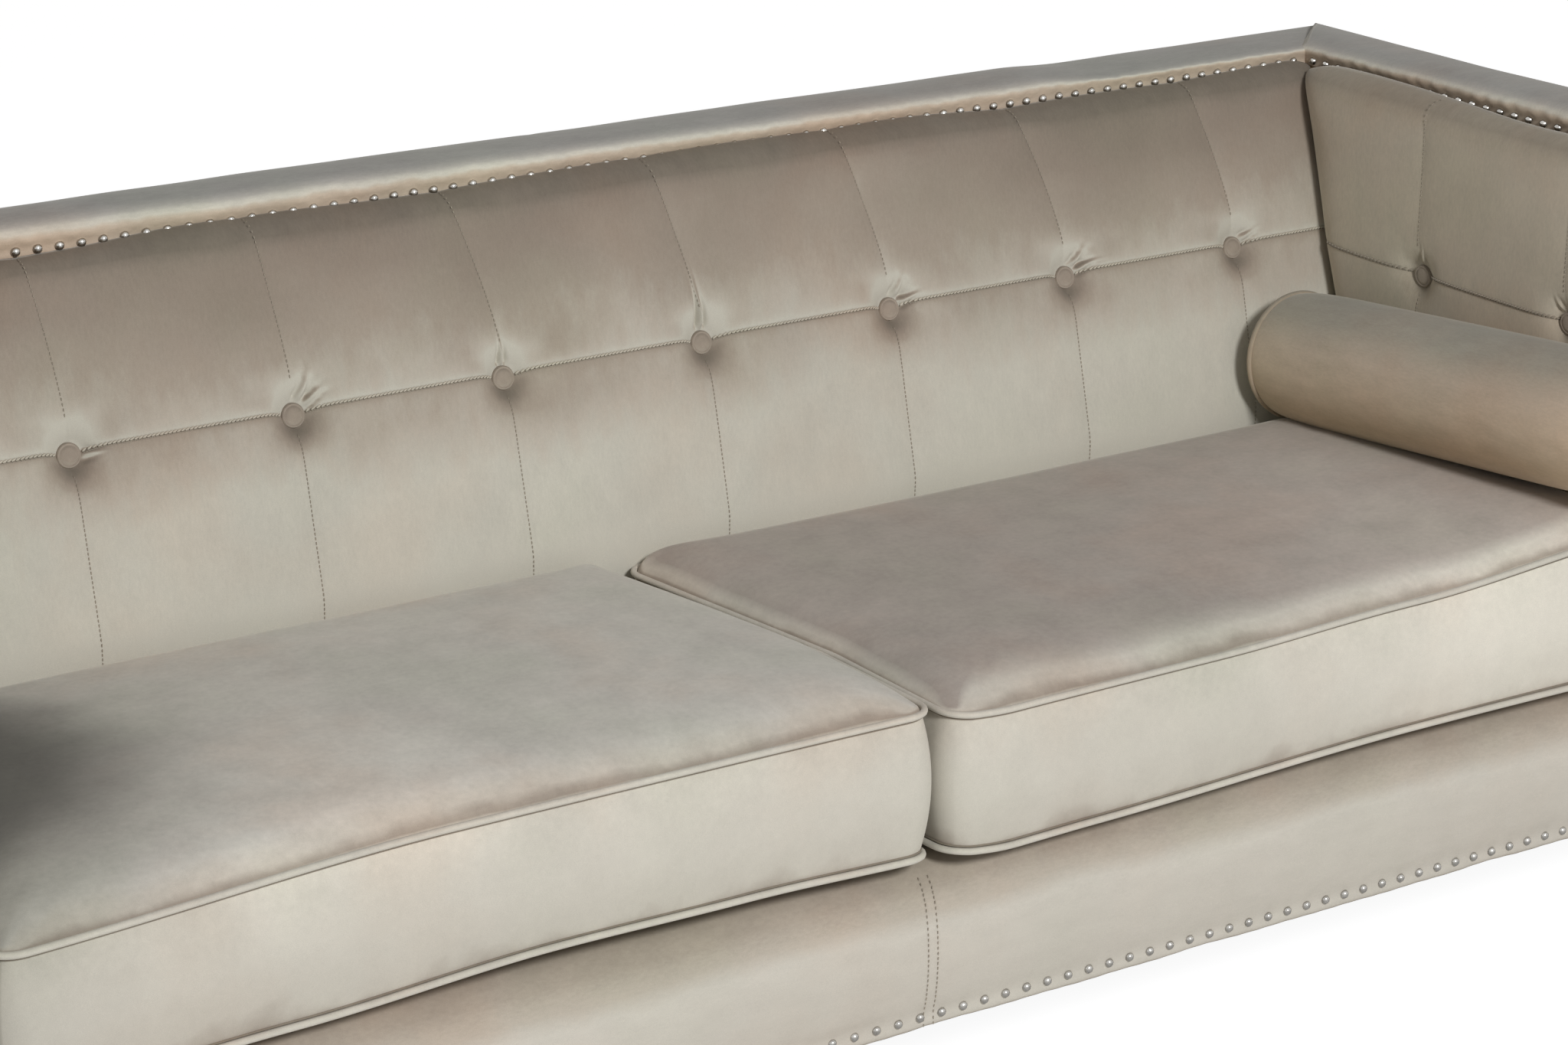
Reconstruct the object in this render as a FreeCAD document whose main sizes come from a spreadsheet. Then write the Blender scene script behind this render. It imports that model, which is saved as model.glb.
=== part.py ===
import FreeCAD, Part
import math
import os

# Three-seater sofa: a buttoned back and two arms of one height under a padded capping, two loose
# box cushions and one bolster, on tapered legs. Millimetres. +X is the right of someone facing
# the sofa, -Y its front, +Z up. The origin is on the floor, under the middle of the sofa.

doc = FreeCAD.newDocument("sofa")
vec = FreeCAD.Vector
RIGHT, LEFT, FRONT, BACK, UP = vec(1, 0, 0), vec(-1, 0, 0), vec(0, -1, 0), vec(0, 1, 0), vec(0, 0, 1)

# Driving dimensions, one cell each.
DIMENSIONS = {
    # overall
    "width": 2190,
    "depth": 776,
    "height": 845,
    "leg_height": 100,
    # timber frame
    "board": 28,
    "base_rail": 135,
    "stretcher": 95,
    "top_rail_wide": 100,
    "top_rail_tall": 40,
    "tack_rail_thick": 22,
    "tack_rail_tall": 60,
    "rib_thick": 18,
    "rib_pitch": 490,
    "back_lean": 112,
    "glue_block": 60,
    # webbing, deck and dust cloth
    "webbing": 2,
    "strap_wide": 60,
    "strap_hold": 10,
    "seat_strap_pitch": 160,
    "back_strap_pitch": 115,
    "arm_strap_pitch": 190,
    "deck_pad": 31,
    "dust_cloth": 1.5,
    # capping over the top rails
    "roll_pad": 19,
    "roll_bulge": 4,
    "roll_shoulder": 24,
    "roll_brow": 8,
    "roll_ease": 12,
    "roll_fall": 8,
    "lip": 3,
    "lip_drop": 18,
    "nail_band": 15,
    # outside covers and front rail cover
    "outer_cover": 4,
    "front_pad": 14,
    "arm_front_pad": 18,
    "arm_front_edge": 6,
    "front_bulge": 9,
    "front_hem": 5,
    "front_band": 23,
    "front_round": 26,
    "front_round_bulge": 6.5,
    "front_top_pad": 27.5,
    "front_top_deep": 70,
    # inside back and arm pads
    "pad_gap": 2,
    "pad_foot": 47,
    "pad_head": 23,
    "pad_shoulder": 14,
    "shoulder_bulge": 3.5,
    "pad_end": 15,
    "arm_pad": 44,
    "arm_taper": 3,
    "pillow": 8,
    "seam_depth": 5,
    "foam_break": 16,
    "foam_edge": 10,
    "arm_foam": 22,
    "foam_margin": 24,
    # buttons
    "button_height": 628,
    "button_columns": 8,
    "button_pitch": 237.5,
    "arm_button_columns": 2,
    "arm_button_first": 154,
    "arm_button_pitch": 232,
    "button_wide": 25,
    "button_rim": 3,
    "button_dome": 5,
    "button_crown": 13,
    "button_sink": 12,
    "button_fit": 1,
    "button_sides": 12,
    "pleats": 8,
    "dimple_deep": 28,
    "dimple_flare": 38,
    "channel_half": 45,
    # seat cushions
    "cushion_overhang": 22,
    "cushion_clear": 1,
    "cushion_rear_gap": 4,
    "cushion_gap": 6,
    "rest_gap": 0.3,
    "cushion_foot": 8,
    "cushion_border": 141,
    "cushion_crown": 32,
    "crown_rise": 21,
    "crown_shoulder": 28,
    "crown_fall": 60,
    "crown_corner": 8,
    "side_draw": 6,
    "border_bulge": 11,
    "piping": 8,
    "core_inset": 27,
    "core_edge": 3,
    # bolster
    "bolster_wide": 151,
    "bolster_long": 530,
    "bolster_rear": 6,
    "bolster_neck": 6,
    "bolster_taper": 14,
    "bolster_crown": 5,
    "bolster_disc": 60,
    "bolster_wrap": 18,
    "settling_steps": 8,
    # legs
    "leg_head": 64,
    "leg_foot": 40,
    "leg_inset": 28,
    "middle_leg": 44,
    "middle_leg_set": 96,
    "leg_plate": 3,
    "felt_pad": 4,
    "felt_inset": 3,
    # nails
    "nail_wide": 9.5,
    "nail_tall": 3.5,
    "nail_sides": 6,
    "nail_rise": 8,
    "top_nail_pitch": 22.5,
    "front_nail_rise": 14,
    "front_nail_pitch": 25.3,
}

dims = doc.addObject("Spreadsheet::Sheet", "dims")
for row, (alias, number) in enumerate(DIMENSIONS.items(), start=1):
    dims.set(f"A{row}", alias)
    dims.set(f"B{row}", str(number))
    dims.setAlias(f"B{row}", alias)
doc.recompute()


def size(alias):
    """A driving dimension as a number."""
    return float(dims.get(alias))


def at(plane):
    """The number that an expression on the driving dimensions gives."""
    return float(dims.evalExpression(plane))


def minus(plane):
    return f"-({plane})"


# Levels, from the floor up.
RAIL_FOOT = "dims.leg_height + dims.dust_cloth"
RAIL_HEAD = f"{RAIL_FOOT} + dims.base_rail"
WEB_HEAD = f"{RAIL_HEAD} + dims.webbing"
DECK = f"{WEB_HEAD} + dims.deck_pad"
TACK_HEAD = f"{WEB_HEAD} + dims.tack_rail_tall"
CUSHION_FOOT = f"{DECK} + dims.rest_gap"
LOW_PIPING = f"{CUSHION_FOOT} + dims.cushion_foot"
HIGH_PIPING = f"{LOW_PIPING} + dims.cushion_border"
SEAT = f"{HIGH_PIPING} + dims.cushion_crown"
TOP_RAIL_HEAD = "dims.height - dims.roll_pad"
TOP_RAIL_FOOT = f"{TOP_RAIL_HEAD} - dims.top_rail_tall"
LIP_FOOT = f"{TOP_RAIL_HEAD} - dims.lip_drop"
PAD_FOOT = f"{DECK} + dims.pad_gap"
PAD_HEAD = f"{LIP_FOOT} - dims.pad_gap"

# Planes across the sofa, on its right half.
ARM_SIDE = "dims.width / 2"
ARM_OUT = f"{ARM_SIDE} - dims.outer_cover"
ARM_IN = f"{ARM_OUT} - dims.top_rail_wide"
ARM_NAILS = f"{ARM_IN} - dims.lip"
ARM_BACKING = f"{ARM_IN} - dims.webbing"
ARM_FACE = f"{ARM_BACKING} - dims.arm_pad"
FACING_IN = f"{ARM_NAILS} - dims.roll_bulge"
SIDE_RAIL_IN = f"{ARM_OUT} - dims.board"
CUSHION_OUT = f"{ARM_FACE} - dims.pillow - dims.cushion_clear"
CUSHION_IN = "dims.cushion_gap / 2"

# Planes from the front to the back.
CUSHION_FRONT = "-dims.depth / 2"
RAIL_FACE = f"{CUSHION_FRONT} + dims.cushion_overhang"
TIMBER_FRONT = f"{RAIL_FACE} + dims.front_pad"
POST_BACK = f"{TIMBER_FRONT} + dims.board"
FRONT_TOP_BACK = f"{RAIL_FACE} + dims.front_top_deep"
BACK_SIDE = "dims.depth / 2"
BACK_OUT = f"{BACK_SIDE} - dims.outer_cover"
REAR_POST_FRONT = f"{BACK_OUT} - dims.board"
BACK_IN = f"{BACK_OUT} - dims.top_rail_wide"
BACK_NAILS = f"{BACK_IN} - dims.lip"


def back_plane(level):
    """The raked plane of the ribs' front edges, which the back's webbing lies on."""
    rise = f"(({TOP_RAIL_FOOT}) - ({WEB_HEAD}))"
    return f"{BACK_IN} - dims.back_lean * (({TOP_RAIL_FOOT}) - ({level})) / {rise}"


def back_pad_plane(level):
    return f"{back_plane(level)} - dims.webbing"


PAD_FACE = f"{back_pad_plane(SEAT)} - dims.pad_foot"
PAD_BROW = f"{back_pad_plane(TOP_RAIL_FOOT)} - dims.pad_head"
CUSHION_REAR = f"{PAD_FACE} - dims.cushion_rear_gap"
BOLSTER_REAR = f"{CUSHION_REAR} - dims.bolster_rear"

nodes = {}


def keep(piece, label):
    """Make a document object one of the sofa's pieces."""
    piece.Label = label
    nodes[label] = piece
    return piece


def block(name, x, y, z):
    """A square-edged piece between three pairs of planes."""
    piece = doc.addObject("Part::Box", name)
    for side, axis, (low, high) in zip(("Length", "Width", "Height"), "xyz", (x, y, z)):
        piece.setExpression(side, f"({high}) - ({low})")
        piece.setExpression(f"Placement.Base.{axis}", low)
    return piece


def frustum(name, z, foot, head):
    """A piece with a level foot and head, each given by its pairs of x and y planes."""
    piece = doc.addObject("Part::Wedge", name)
    piece.Placement = FreeCAD.Placement(vec(), FreeCAD.Rotation(RIGHT, 90))
    piece.setExpression("Ymin", z[0])
    piece.setExpression("Ymax", z[1])
    for prefix, ((x_low, x_high), (y_low, y_high)) in (("", foot), ("2", head)):
        piece.setExpression(f"X{prefix}min", x_low)
        piece.setExpression(f"X{prefix}max", x_high)
        piece.setExpression(f"Z{prefix}min", minus(y_high))
        piece.setExpression(f"Z{prefix}max", minus(y_low))
    return piece


def group(label, pieces):
    """Like pieces that share one node."""
    bundle = doc.addObject("Part::Compound", label)
    bundle.Links = pieces
    return keep(bundle, label)


def formed(label, shape):
    """A soft piece, or a group of trim, made from outlines and flat faces."""
    piece = doc.addObject("Part::Feature", label)
    piece.Shape = shape
    return keep(piece, label)


def both_sides(x):
    """The pairs of planes of a piece on the right arm and of its twin on the left."""
    return {"right": x, "left": (minus(x[1]), minus(x[0]))}


# Base frame: rails between the arm posts, one stretcher across the middle.
ACROSS = (minus(ARM_IN), ARM_IN)
FRONT_BOARD = (TIMBER_FRONT, POST_BACK)
REAR_BOARD = (REAR_POST_FRONT, BACK_OUT)
BETWEEN_POSTS = (POST_BACK, REAR_POST_FRONT)
BASE_LEVELS = (RAIL_FOOT, RAIL_HEAD)
keep(block("base_front_rail", ACROSS, FRONT_BOARD, BASE_LEVELS), "base_front_rail")
keep(block("base_back_rail", ACROSS, REAR_BOARD, (RAIL_FOOT, WEB_HEAD)), "base_back_rail")
MIDDLE_BOARD = ("-dims.board / 2", "dims.board / 2")
STRETCHER_LEVELS = (RAIL_FOOT, f"{RAIL_FOOT} + dims.stretcher")
keep(block("centre_stretcher", MIDDLE_BOARD, BETWEEN_POSTS, STRETCHER_LEVELS), "centre_stretcher")

# Arms: posts front and rear, a side rail low down, a top rail and a tack rail for the cover's edge.
for side, x in both_sides((ARM_IN, ARM_OUT)).items():
    keep(block(f"front_post_{side}", x, FRONT_BOARD, (RAIL_FOOT, TOP_RAIL_FOOT)), f"front_post_{side}")
    keep(block(f"rear_post_{side}", x, REAR_BOARD, (RAIL_FOOT, TOP_RAIL_FOOT)), f"rear_post_{side}")
    top = block(f"arm_top_rail_{side}", x, (TIMBER_FRONT, BACK_OUT), (TOP_RAIL_FOOT, TOP_RAIL_HEAD))
    keep(top, f"arm_top_rail_{side}")
for side, x in both_sides((SIDE_RAIL_IN, ARM_OUT)).items():
    keep(block(f"base_side_rail_{side}", x, BETWEEN_POSTS, BASE_LEVELS), f"base_side_rail_{side}")
for side, x in both_sides((ARM_IN, f"{ARM_IN} + dims.tack_rail_thick")).items():
    keep(block(f"arm_tack_rail_{side}", x, BETWEEN_POSTS, (WEB_HEAD, TACK_HEAD)), f"arm_tack_rail_{side}")

# Back: a top rail, a raked tack rail, and plywood ribs notched over the tack rail.
keep(block("back_top_rail", ACROSS, (BACK_IN, BACK_OUT), (TOP_RAIL_FOOT, TOP_RAIL_HEAD)), "back_top_rail")


def raked(name, x, z, thick):
    """A piece of even thickness that leans with the back, behind its raked plane."""
    ends = [(x, (back_plane(level), f"{back_plane(level)} + {thick}")) for level in z]
    return frustum(name, z, *ends)


tack_rail = raked("back_tack_rail", ACROSS, (WEB_HEAD, TACK_HEAD), "dims.tack_rail_thick")
keep(tack_rail, "back_tack_rail")
END_RIB = f"{ARM_IN} - dims.rib_thick / 2"
RIB_PLACES = (minus(END_RIB), "-dims.rib_pitch", "0", "dims.rib_pitch", END_RIB)
ribs = []
for index, middle in enumerate(RIB_PLACES, start=1):
    x = (f"{middle} - dims.rib_thick / 2", f"{middle} + dims.rib_thick / 2")
    foot, head = ((x, (back_plane(level), BACK_OUT)) for level in (WEB_HEAD, TOP_RAIL_FOOT))
    rib = doc.addObject("Part::Cut", f"back_rib_{index}")
    rib.Base = frustum(f"rib_board_{index}", (WEB_HEAD, TOP_RAIL_FOOT), foot, head)
    rib.Tool = tack_rail
    ribs.append(rib)
group("back_ribs", ribs)


def strap_places(free, pitch):
    """Middles of as many straps as a free length takes, spread evenly about its middle."""
    count = max(1, int((at(free) - size("strap_wide")) / size(pitch)) + 1)
    return [f"({index - (count - 1) / 2}) * dims.{pitch}" for index in range(count)]


def strap_edges(middle):
    return f"{middle} - dims.strap_wide / 2", f"{middle} + dims.strap_wide / 2"


# Webbing: front to back under the seat, level across the back, upright in the arms.
seat_straps = []
for index, middle in enumerate(strap_places(f"2 * ({ARM_IN})", "seat_strap_pitch"), start=1):
    run = (TIMBER_FRONT, f"{back_plane(WEB_HEAD)} + dims.tack_rail_thick")
    seat_straps.append(block(f"seat_strap_{index}", strap_edges(middle), run, (RAIL_HEAD, WEB_HEAD)))
group("seat_webbing", seat_straps)

back_straps = []
BACK_SPAN = f"({TOP_RAIL_FOOT}) - ({TACK_HEAD})"
for index, middle in enumerate(strap_places(BACK_SPAN, "back_strap_pitch"), start=1):
    levels = strap_edges(f"(({TOP_RAIL_FOOT}) + ({TACK_HEAD})) / 2 + {middle}")
    ends = [(ACROSS, (back_pad_plane(level), back_plane(level))) for level in levels]
    back_straps.append(frustum(f"back_strap_{index}", levels, *ends))
group("back_webbing", back_straps)

arm_straps = []
ARM_RUN = f"({PAD_FACE}) - ({TIMBER_FRONT})"
ARM_STRAP_LEVELS = (PAD_FOOT, f"{TOP_RAIL_FOOT} + dims.strap_hold")
for side, x in both_sides((ARM_BACKING, ARM_IN)).items():
    for index, middle in enumerate(strap_places(ARM_RUN, "arm_strap_pitch"), start=1):
        run = strap_edges(f"(({PAD_FACE}) + ({TIMBER_FRONT})) / 2 + {middle}")
        arm_straps.append(block(f"arm_strap_{side}_{index}", x, run, ARM_STRAP_LEVELS))
group("arm_webbing", arm_straps)

# Deck pad over the seat webbing.
keep(block("deck_pad", ACROSS, (FRONT_TOP_BACK, back_plane(WEB_HEAD)), (WEB_HEAD, DECK)), "deck_pad")

# Legs: four tapered ones under the corners, two plain ones under the stretcher, each on a steel
# plate screwed up into the frame and with a felt pad under its foot.
LEG_X = f"{SIDE_RAIL_IN} - dims.leg_inset"
LEG_FRONT = f"{POST_BACK} + dims.leg_inset"
LEG_REAR = f"{REAR_POST_FRONT} - dims.leg_inset"
LEG_PLACES = {
    "front_right": (LEG_X, LEG_FRONT),
    "front_left": (minus(LEG_X), LEG_FRONT),
    "rear_right": (LEG_X, LEG_REAR),
    "rear_left": (minus(LEG_X), LEG_REAR),
    "front_middle": ("0", f"{LEG_FRONT} + dims.middle_leg_set"),
    "rear_middle": ("0", LEG_REAR),
}
LEG_HEAD = "dims.leg_height - dims.leg_plate"


def square(x, y, wide):
    """Planes of a square about a point."""
    return tuple((f"{middle} - {wide} / 2", f"{middle} + {wide} / 2") for middle in (x, y))


plates = []
felts = []
for place, (x, y) in LEG_PLACES.items():
    head, foot = ("dims.middle_leg",) * 2 if "middle" in place else ("dims.leg_head", "dims.leg_foot")
    leg = frustum(f"leg_{place}", ("dims.felt_pad", LEG_HEAD), square(x, y, foot), square(x, y, head))
    keep(leg, f"leg_{place}")
    felt_wide = f"({foot} - 2 * dims.felt_inset)"
    felts.append(block(f"felt_pad_{place}", *square(x, y, felt_wide), ("0", "dims.felt_pad")))
    plates.append(block(f"leg_plate_{place}", *square(x, y, head), (LEG_HEAD, "dims.leg_height")))
group("leg_plates", plates)
group("felt_pads", felts)

# Glue blocks in the corners, and a dust cloth across the underside of the frame.
BLOCK_LEVELS = (RAIL_FOOT, f"{RAIL_FOOT} + dims.glue_block")
BLOCK_RUNS = {
    "front": (POST_BACK, f"{POST_BACK} + dims.glue_block"),
    "rear": (f"{REAR_POST_FRONT} - dims.glue_block", REAR_POST_FRONT),
}
glue_blocks = []
for side, x in both_sides((f"{SIDE_RAIL_IN} - dims.glue_block", SIDE_RAIL_IN)).items():
    for end, y in BLOCK_RUNS.items():
        glue_blocks.append(block(f"glue_block_{end}_{side}", x, y, BLOCK_LEVELS))
group("corner_blocks", glue_blocks)
CLOTH_LEVELS = ("dims.leg_height", RAIL_FOOT)
cloth = block("dust_cloth", (minus(ARM_OUT), ARM_OUT), (TIMBER_FRONT, BACK_OUT), CLOTH_LEVELS)
keep(cloth, "dust_cloth")

# Outside covers: thin padded sheets over the arms' and the back's outer faces.
COVER_LEVELS = ("dims.leg_height", LIP_FOOT)
for side, x in both_sides((ARM_OUT, ARM_SIDE)).items():
    sheet = block(f"outside_arm_cover_{side}", x, (TIMBER_FRONT, BACK_OUT), COVER_LEVELS)
    keep(sheet, f"outside_arm_cover_{side}")
rear_sheet = block("outside_back_cover", (minus(ARM_SIDE), ARM_SIDE), (BACK_OUT, BACK_SIDE), COVER_LEVELS)
keep(rear_sheet, "outside_back_cover")
doc.recompute()


def outline(start, *steps):
    """A closed wire: each step is the end of a line, or the middle and end of an arc."""
    edges = []
    here = start
    for step in steps:
        if isinstance(step, tuple):
            edges.append(Part.Arc(here, step[0], step[1]).toShape())
            here = step[1]
        else:
            edges.append(Part.LineSegment(here, step).toShape())
            here = step
    edges.append(Part.LineSegment(here, start).toShape())
    return Part.Wire(edges)


def flat(corners):
    """A flat face round its corners."""
    return Part.Face(Part.makePolygon(corners + corners[:1]))


def faceted(*rings):
    """A flat-faced solid through rings of as many corners each."""
    faces = [flat(rings[0]), flat(rings[-1])]
    for low, high in zip(rings, rings[1:]):
        following = list(range(1, len(low))) + [0]
        for here, there in enumerate(following):
            faces.append(flat([low[here], low[there], high[there], high[here]]))
    return Part.makeSolid(Part.makeShell(faces))


def ring(middle, across, over, radius, sides):
    """Corners of an even polygon about a point."""
    turns = [2 * math.pi * index / sides for index in range(int(sides))]
    spokes = [across * math.cos(turn) + over * math.sin(turn) for turn in turns]
    return [middle + spoke * radius for spoke in spokes]


def bowed(low, high, bulge, front):
    """An arc from one point to another, bulging towards the front vector, as a step of an outline."""
    chord = high - low
    swell = (front - chord * (front.dot(chord) / chord.dot(chord))).normalize()
    return (low + high) * 0.5 + swell * bulge, high


def eased(deep, rise):
    """The middle of an arc that leaves an upright wall: its distances in from the wall and up it."""
    radius = (deep ** 2 + rise ** 2) / (2 * deep)
    half = math.atan2(rise, radius - deep) / 2
    return radius - radius * math.cos(half), radius * math.sin(half)


def mirrored(shape):
    return shape.mirror(vec(), RIGHT)


def crest(inner, outer):
    """Where the capping is highest between its inner edge and its lower outer edge."""
    ratio = math.sqrt(1 + size("roll_fall") / size("roll_bulge"))
    return (outer + ratio * inner) / (1 + ratio)


# Capping: a padded strip over the top rails, lipped down their faces, mitred at the back corners.
def roll_section(spot):
    """The capping's section, where spot turns a distance behind the nails and a level into a point."""
    wide = size("lip") + size("top_rail_wide") + size("outer_cover")
    inner, outer = size("lip"), size("lip") + size("top_rail_wide")
    foot, rail, top = at(LIP_FOOT), at(TOP_RAIL_HEAD), size("height")
    band = foot + size("nail_band")
    bulge, shoulder = size("roll_bulge"), size("roll_shoulder")
    brow, ease, edge = size("roll_brow"), size("roll_ease"), bulge + size("roll_fall")
    ease_in, ease_up = eased(ease, shoulder - edge)
    return outline(
        spot(0, foot),
        spot(0, band),
        (spot(-bulge, (band + top - bulge) / 2), spot(brow, top - bulge)),
        (spot(crest(brow, wide - ease), top), spot(wide - ease, top - edge)),
        (spot(wide - ease_in, top - shoulder + ease_up), spot(wide, top - shoulder)),
        spot(wide, foot),
        spot(outer, foot),
        spot(outer, rail),
        spot(inner, rail),
        spot(inner, foot),
    )


nail_x, nail_y = at(ARM_NAILS), at(BACK_NAILS)
front_y, side_x, rear_y = at(TIMBER_FRONT), at(ARM_SIDE), at(BACK_SIDE)


def behind_mitre(side):
    """All that lies behind the mitre plane at one back corner, over the capping's whole height."""
    reach = size("width")
    corner = vec(side * nail_x, nail_y, 0)
    corners = [corner + vec(side * step[0], step[1], 0) * reach for step in ((-1, -1), (1, 1), (-1, 1))]
    return flat(corners).extrude(vec(0, 0, 2 * size("height")))


arm_bar = Part.Face(roll_section(lambda back, level: vec(nail_x + back, front_y, level)))
arm_roll = arm_bar.extrude(vec(0, rear_y - front_y, 0)).cut(behind_mitre(1))
formed("arm_roll_right", arm_roll)
formed("arm_roll_left", mirrored(arm_roll))
back_bar = Part.Face(roll_section(lambda back, level: vec(-side_x, nail_y + back, level)))
back_roll = back_bar.extrude(vec(2 * side_x, 0, 0)).common(behind_mitre(1)).common(behind_mitre(-1))
formed("back_roll", back_roll)


# Arm facings: padded panels over the fronts of the arms, rounded like the capping that ends there.
def facing_outline(y, inset):
    low_x, high_x = at(FACING_IN) + inset, side_x - inset
    foot, top = size("leg_height") + inset, size("height") - inset
    bulge, shoulder = size("roll_bulge"), size("roll_shoulder")
    ease, edge = size("roll_ease"), bulge + size("roll_fall")
    inner_in, inner_up = eased(ease, shoulder - bulge)
    outer_in, outer_up = eased(ease, shoulder - edge)
    return outline(
        vec(low_x, y, foot),
        vec(low_x, y, top - shoulder),
        (vec(low_x + inner_in, y, top - shoulder + inner_up), vec(low_x + ease, y, top - bulge)),
        (vec(crest(low_x + ease, high_x - ease), y, top), vec(high_x - ease, y, top - edge)),
        (vec(high_x - outer_in, y, top - shoulder + outer_up), vec(high_x, y, top - shoulder)),
        vec(high_x, y, foot),
    )


face_y = front_y - size("arm_front_pad")
facing_edge = size("arm_front_edge")
facing_rings = ((front_y, 0), (face_y + facing_edge, 0), (face_y, facing_edge))
facing = Part.makeLoft([facing_outline(y, inset) for y, inset in facing_rings], True, True)
formed("arm_front_panel_right", facing)
formed("arm_front_panel_left", mirrored(facing))

# Front rail cover: hemmed under, a flat band for the nails, a bulging face, a rounded padded top.
rail_y, end_x = at(RAIL_FACE), at(FACING_IN)
hem, top_z = size("leg_height"), at(WEB_HEAD) + size("front_top_pad")
brow_y, brow_z = rail_y + size("front_hem"), top_z - size("front_round")


def rail_spot(y, z):
    return vec(-end_x, y, z)


band_head, brow = rail_spot(rail_y, hem + size("front_band")), rail_spot(brow_y, brow_z)
round_head = rail_spot(brow_y + size("front_round"), top_z)
cover_section = outline(
    rail_spot(front_y, hem),
    rail_spot(rail_y + size("front_hem"), hem),
    rail_spot(rail_y, hem + size("front_hem")),
    band_head,
    bowed(band_head, brow, size("front_bulge"), FRONT),
    bowed(brow, round_head, size("front_round_bulge"), FRONT + UP),
    rail_spot(at(FRONT_TOP_BACK), top_z),
    rail_spot(at(FRONT_TOP_BACK), at(WEB_HEAD)),
    rail_spot(front_y, at(WEB_HEAD)),
)
formed("front_rail_cover", Part.Face(cover_section).extrude(vec(2 * end_x, 0, 0)))

# Inside back and arms: padded covers of one section, two pillows tall, pulled in along upright
# seams at the button columns and into a dimple at each button.
pad_foot, pad_head, seat = at(PAD_FOOT), at(PAD_HEAD), at(SEAT)
pad_face, pad_brow, rail_foot = at(PAD_FACE), at(PAD_BROW), at(TOP_RAIL_FOOT)
brow_level = pad_head - size("pad_shoulder")
button_level = size("button_height")


class Pad:
    """The sloping face of a pad: its foot at the seat, the way up it, out of it and across it."""

    def __init__(self, foot, brow, front, across):
        self.foot, self.across = foot, across
        self.length = (brow - foot).Length
        self.along = (brow - foot).normalize()
        self.out = (front - self.along * front.dot(self.along)).normalize()
        self.seam_rise = (button_level - seat) / self.along.z

    def seam(self, place):
        """A point on the level seam."""
        chord = self.foot + self.along * self.seam_rise
        return chord + self.across * place - self.out * size("seam_depth")

    def section(self, *back):
        """The pad's section at its foot, closed by the points of its back from the head down."""
        low = vec(self.foot.x, self.foot.y, pad_foot)
        seam, brow, head = self.seam(0), self.foot + self.along * self.length, back[0]
        return outline(
            low,
            self.foot,
            bowed(self.foot, seam, size("pillow"), self.out),
            bowed(seam, brow, size("pillow"), self.out),
            bowed(brow, head, size("shoulder_bulge"), self.out + UP),
            *back[1:],
        )

    def channel(self, place, sink):
        """The room of an upright seam, as a long wedge."""
        rise = size("pillow") + sink
        run = (seat - pad_foot) / self.along.z
        apex = self.foot + self.across * place - self.out * sink - self.along * run
        brim = apex + self.out * rise
        half = self.across * size("channel_half")
        wedge = flat([apex, brim + half, brim - half])
        return wedge.extrude(self.along * (run + self.length + size("pad_shoulder")))

    def about_button(self, place, out, radius, sides):
        """A ring about a button's axis, at a height out from the button's seat."""
        middle = self.seam(place) - self.out * (size("button_sink") - out)
        return ring(middle, self.across, self.along, radius, sides)

    def dimple(self, place):
        """A pleated hollow that flares from a button's seat to the face of the pad."""
        radius, sides = size("button_wide") / 2 + size("button_fit"), size("pleats")
        inner = self.about_button(place, 0, radius, sides)
        mouth = self.about_button(place, size("dimple_deep"), radius + size("dimple_flare"), sides)
        return faceted(inner, mouth)

    def button(self, place):
        """A covered button: a flat back, a short rim and a domed face."""
        radius, rim, sides = size("button_wide") / 2, size("button_rim"), size("button_sides")
        back = self.about_button(place, 0, radius, sides)
        edge = self.about_button(place, rim, radius, sides)
        dome = self.about_button(place, rim + size("button_dome"), size("button_crown") / 2, sides)
        return faceted(back, edge, dome)


columns = int(size("button_columns"))
column_x = [(index - (columns - 1) / 2) * size("button_pitch") for index in range(columns)]
pad_end_x = at(ARM_NAILS)
back_face = Pad(vec(0, pad_face, seat), vec(0, pad_brow, brow_level), FRONT, RIGHT)
back_section = back_face.section(
    vec(0, at(back_pad_plane(TOP_RAIL_FOOT)), pad_head),
    vec(0, at(back_pad_plane(TOP_RAIL_FOOT)), rail_foot),
    vec(0, at(back_pad_plane(PAD_FOOT)), pad_foot),
)
back_section.translate(vec(-pad_end_x, 0, 0))
back_bar = Part.Face(back_section).extrude(vec(2 * pad_end_x, 0, 0))

foam_edge = size("foam_edge")
FOAM_FOOT = f"{PAD_FOOT} + dims.foam_edge"
foam_x = pad_end_x - size("foam_margin")
foam_section = outline(
    vec(-foam_x, at(back_pad_plane(FOAM_FOOT)), at(FOAM_FOOT)),
    vec(-foam_x, at(back_pad_plane(FOAM_FOOT)) - foam_edge, at(FOAM_FOOT)),
    vec(-foam_x, at(back_pad_plane(SEAT)) - size("foam_break"), seat),
    vec(-foam_x, at(back_pad_plane(TOP_RAIL_FOOT)) - foam_edge, rail_foot),
    vec(-foam_x, at(back_pad_plane(TOP_RAIL_FOOT)), rail_foot),
)
back_foam = Part.Face(foam_section).extrude(vec(2 * foam_x, 0, 0))
formed("back_foam", back_foam)
back_cuts = [back_face.channel(x, size("seam_depth")) for x in column_x]
back_cuts += [back_face.channel(x, size("pad_end")) for x in (-pad_end_x, pad_end_x)]
back_cuts += [back_face.dimple(x) for x in column_x]
formed("inside_back_pad", back_bar.cut([back_foam] + back_cuts))
formed("back_buttons", Part.makeCompound([back_face.button(x) for x in column_x]))

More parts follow.
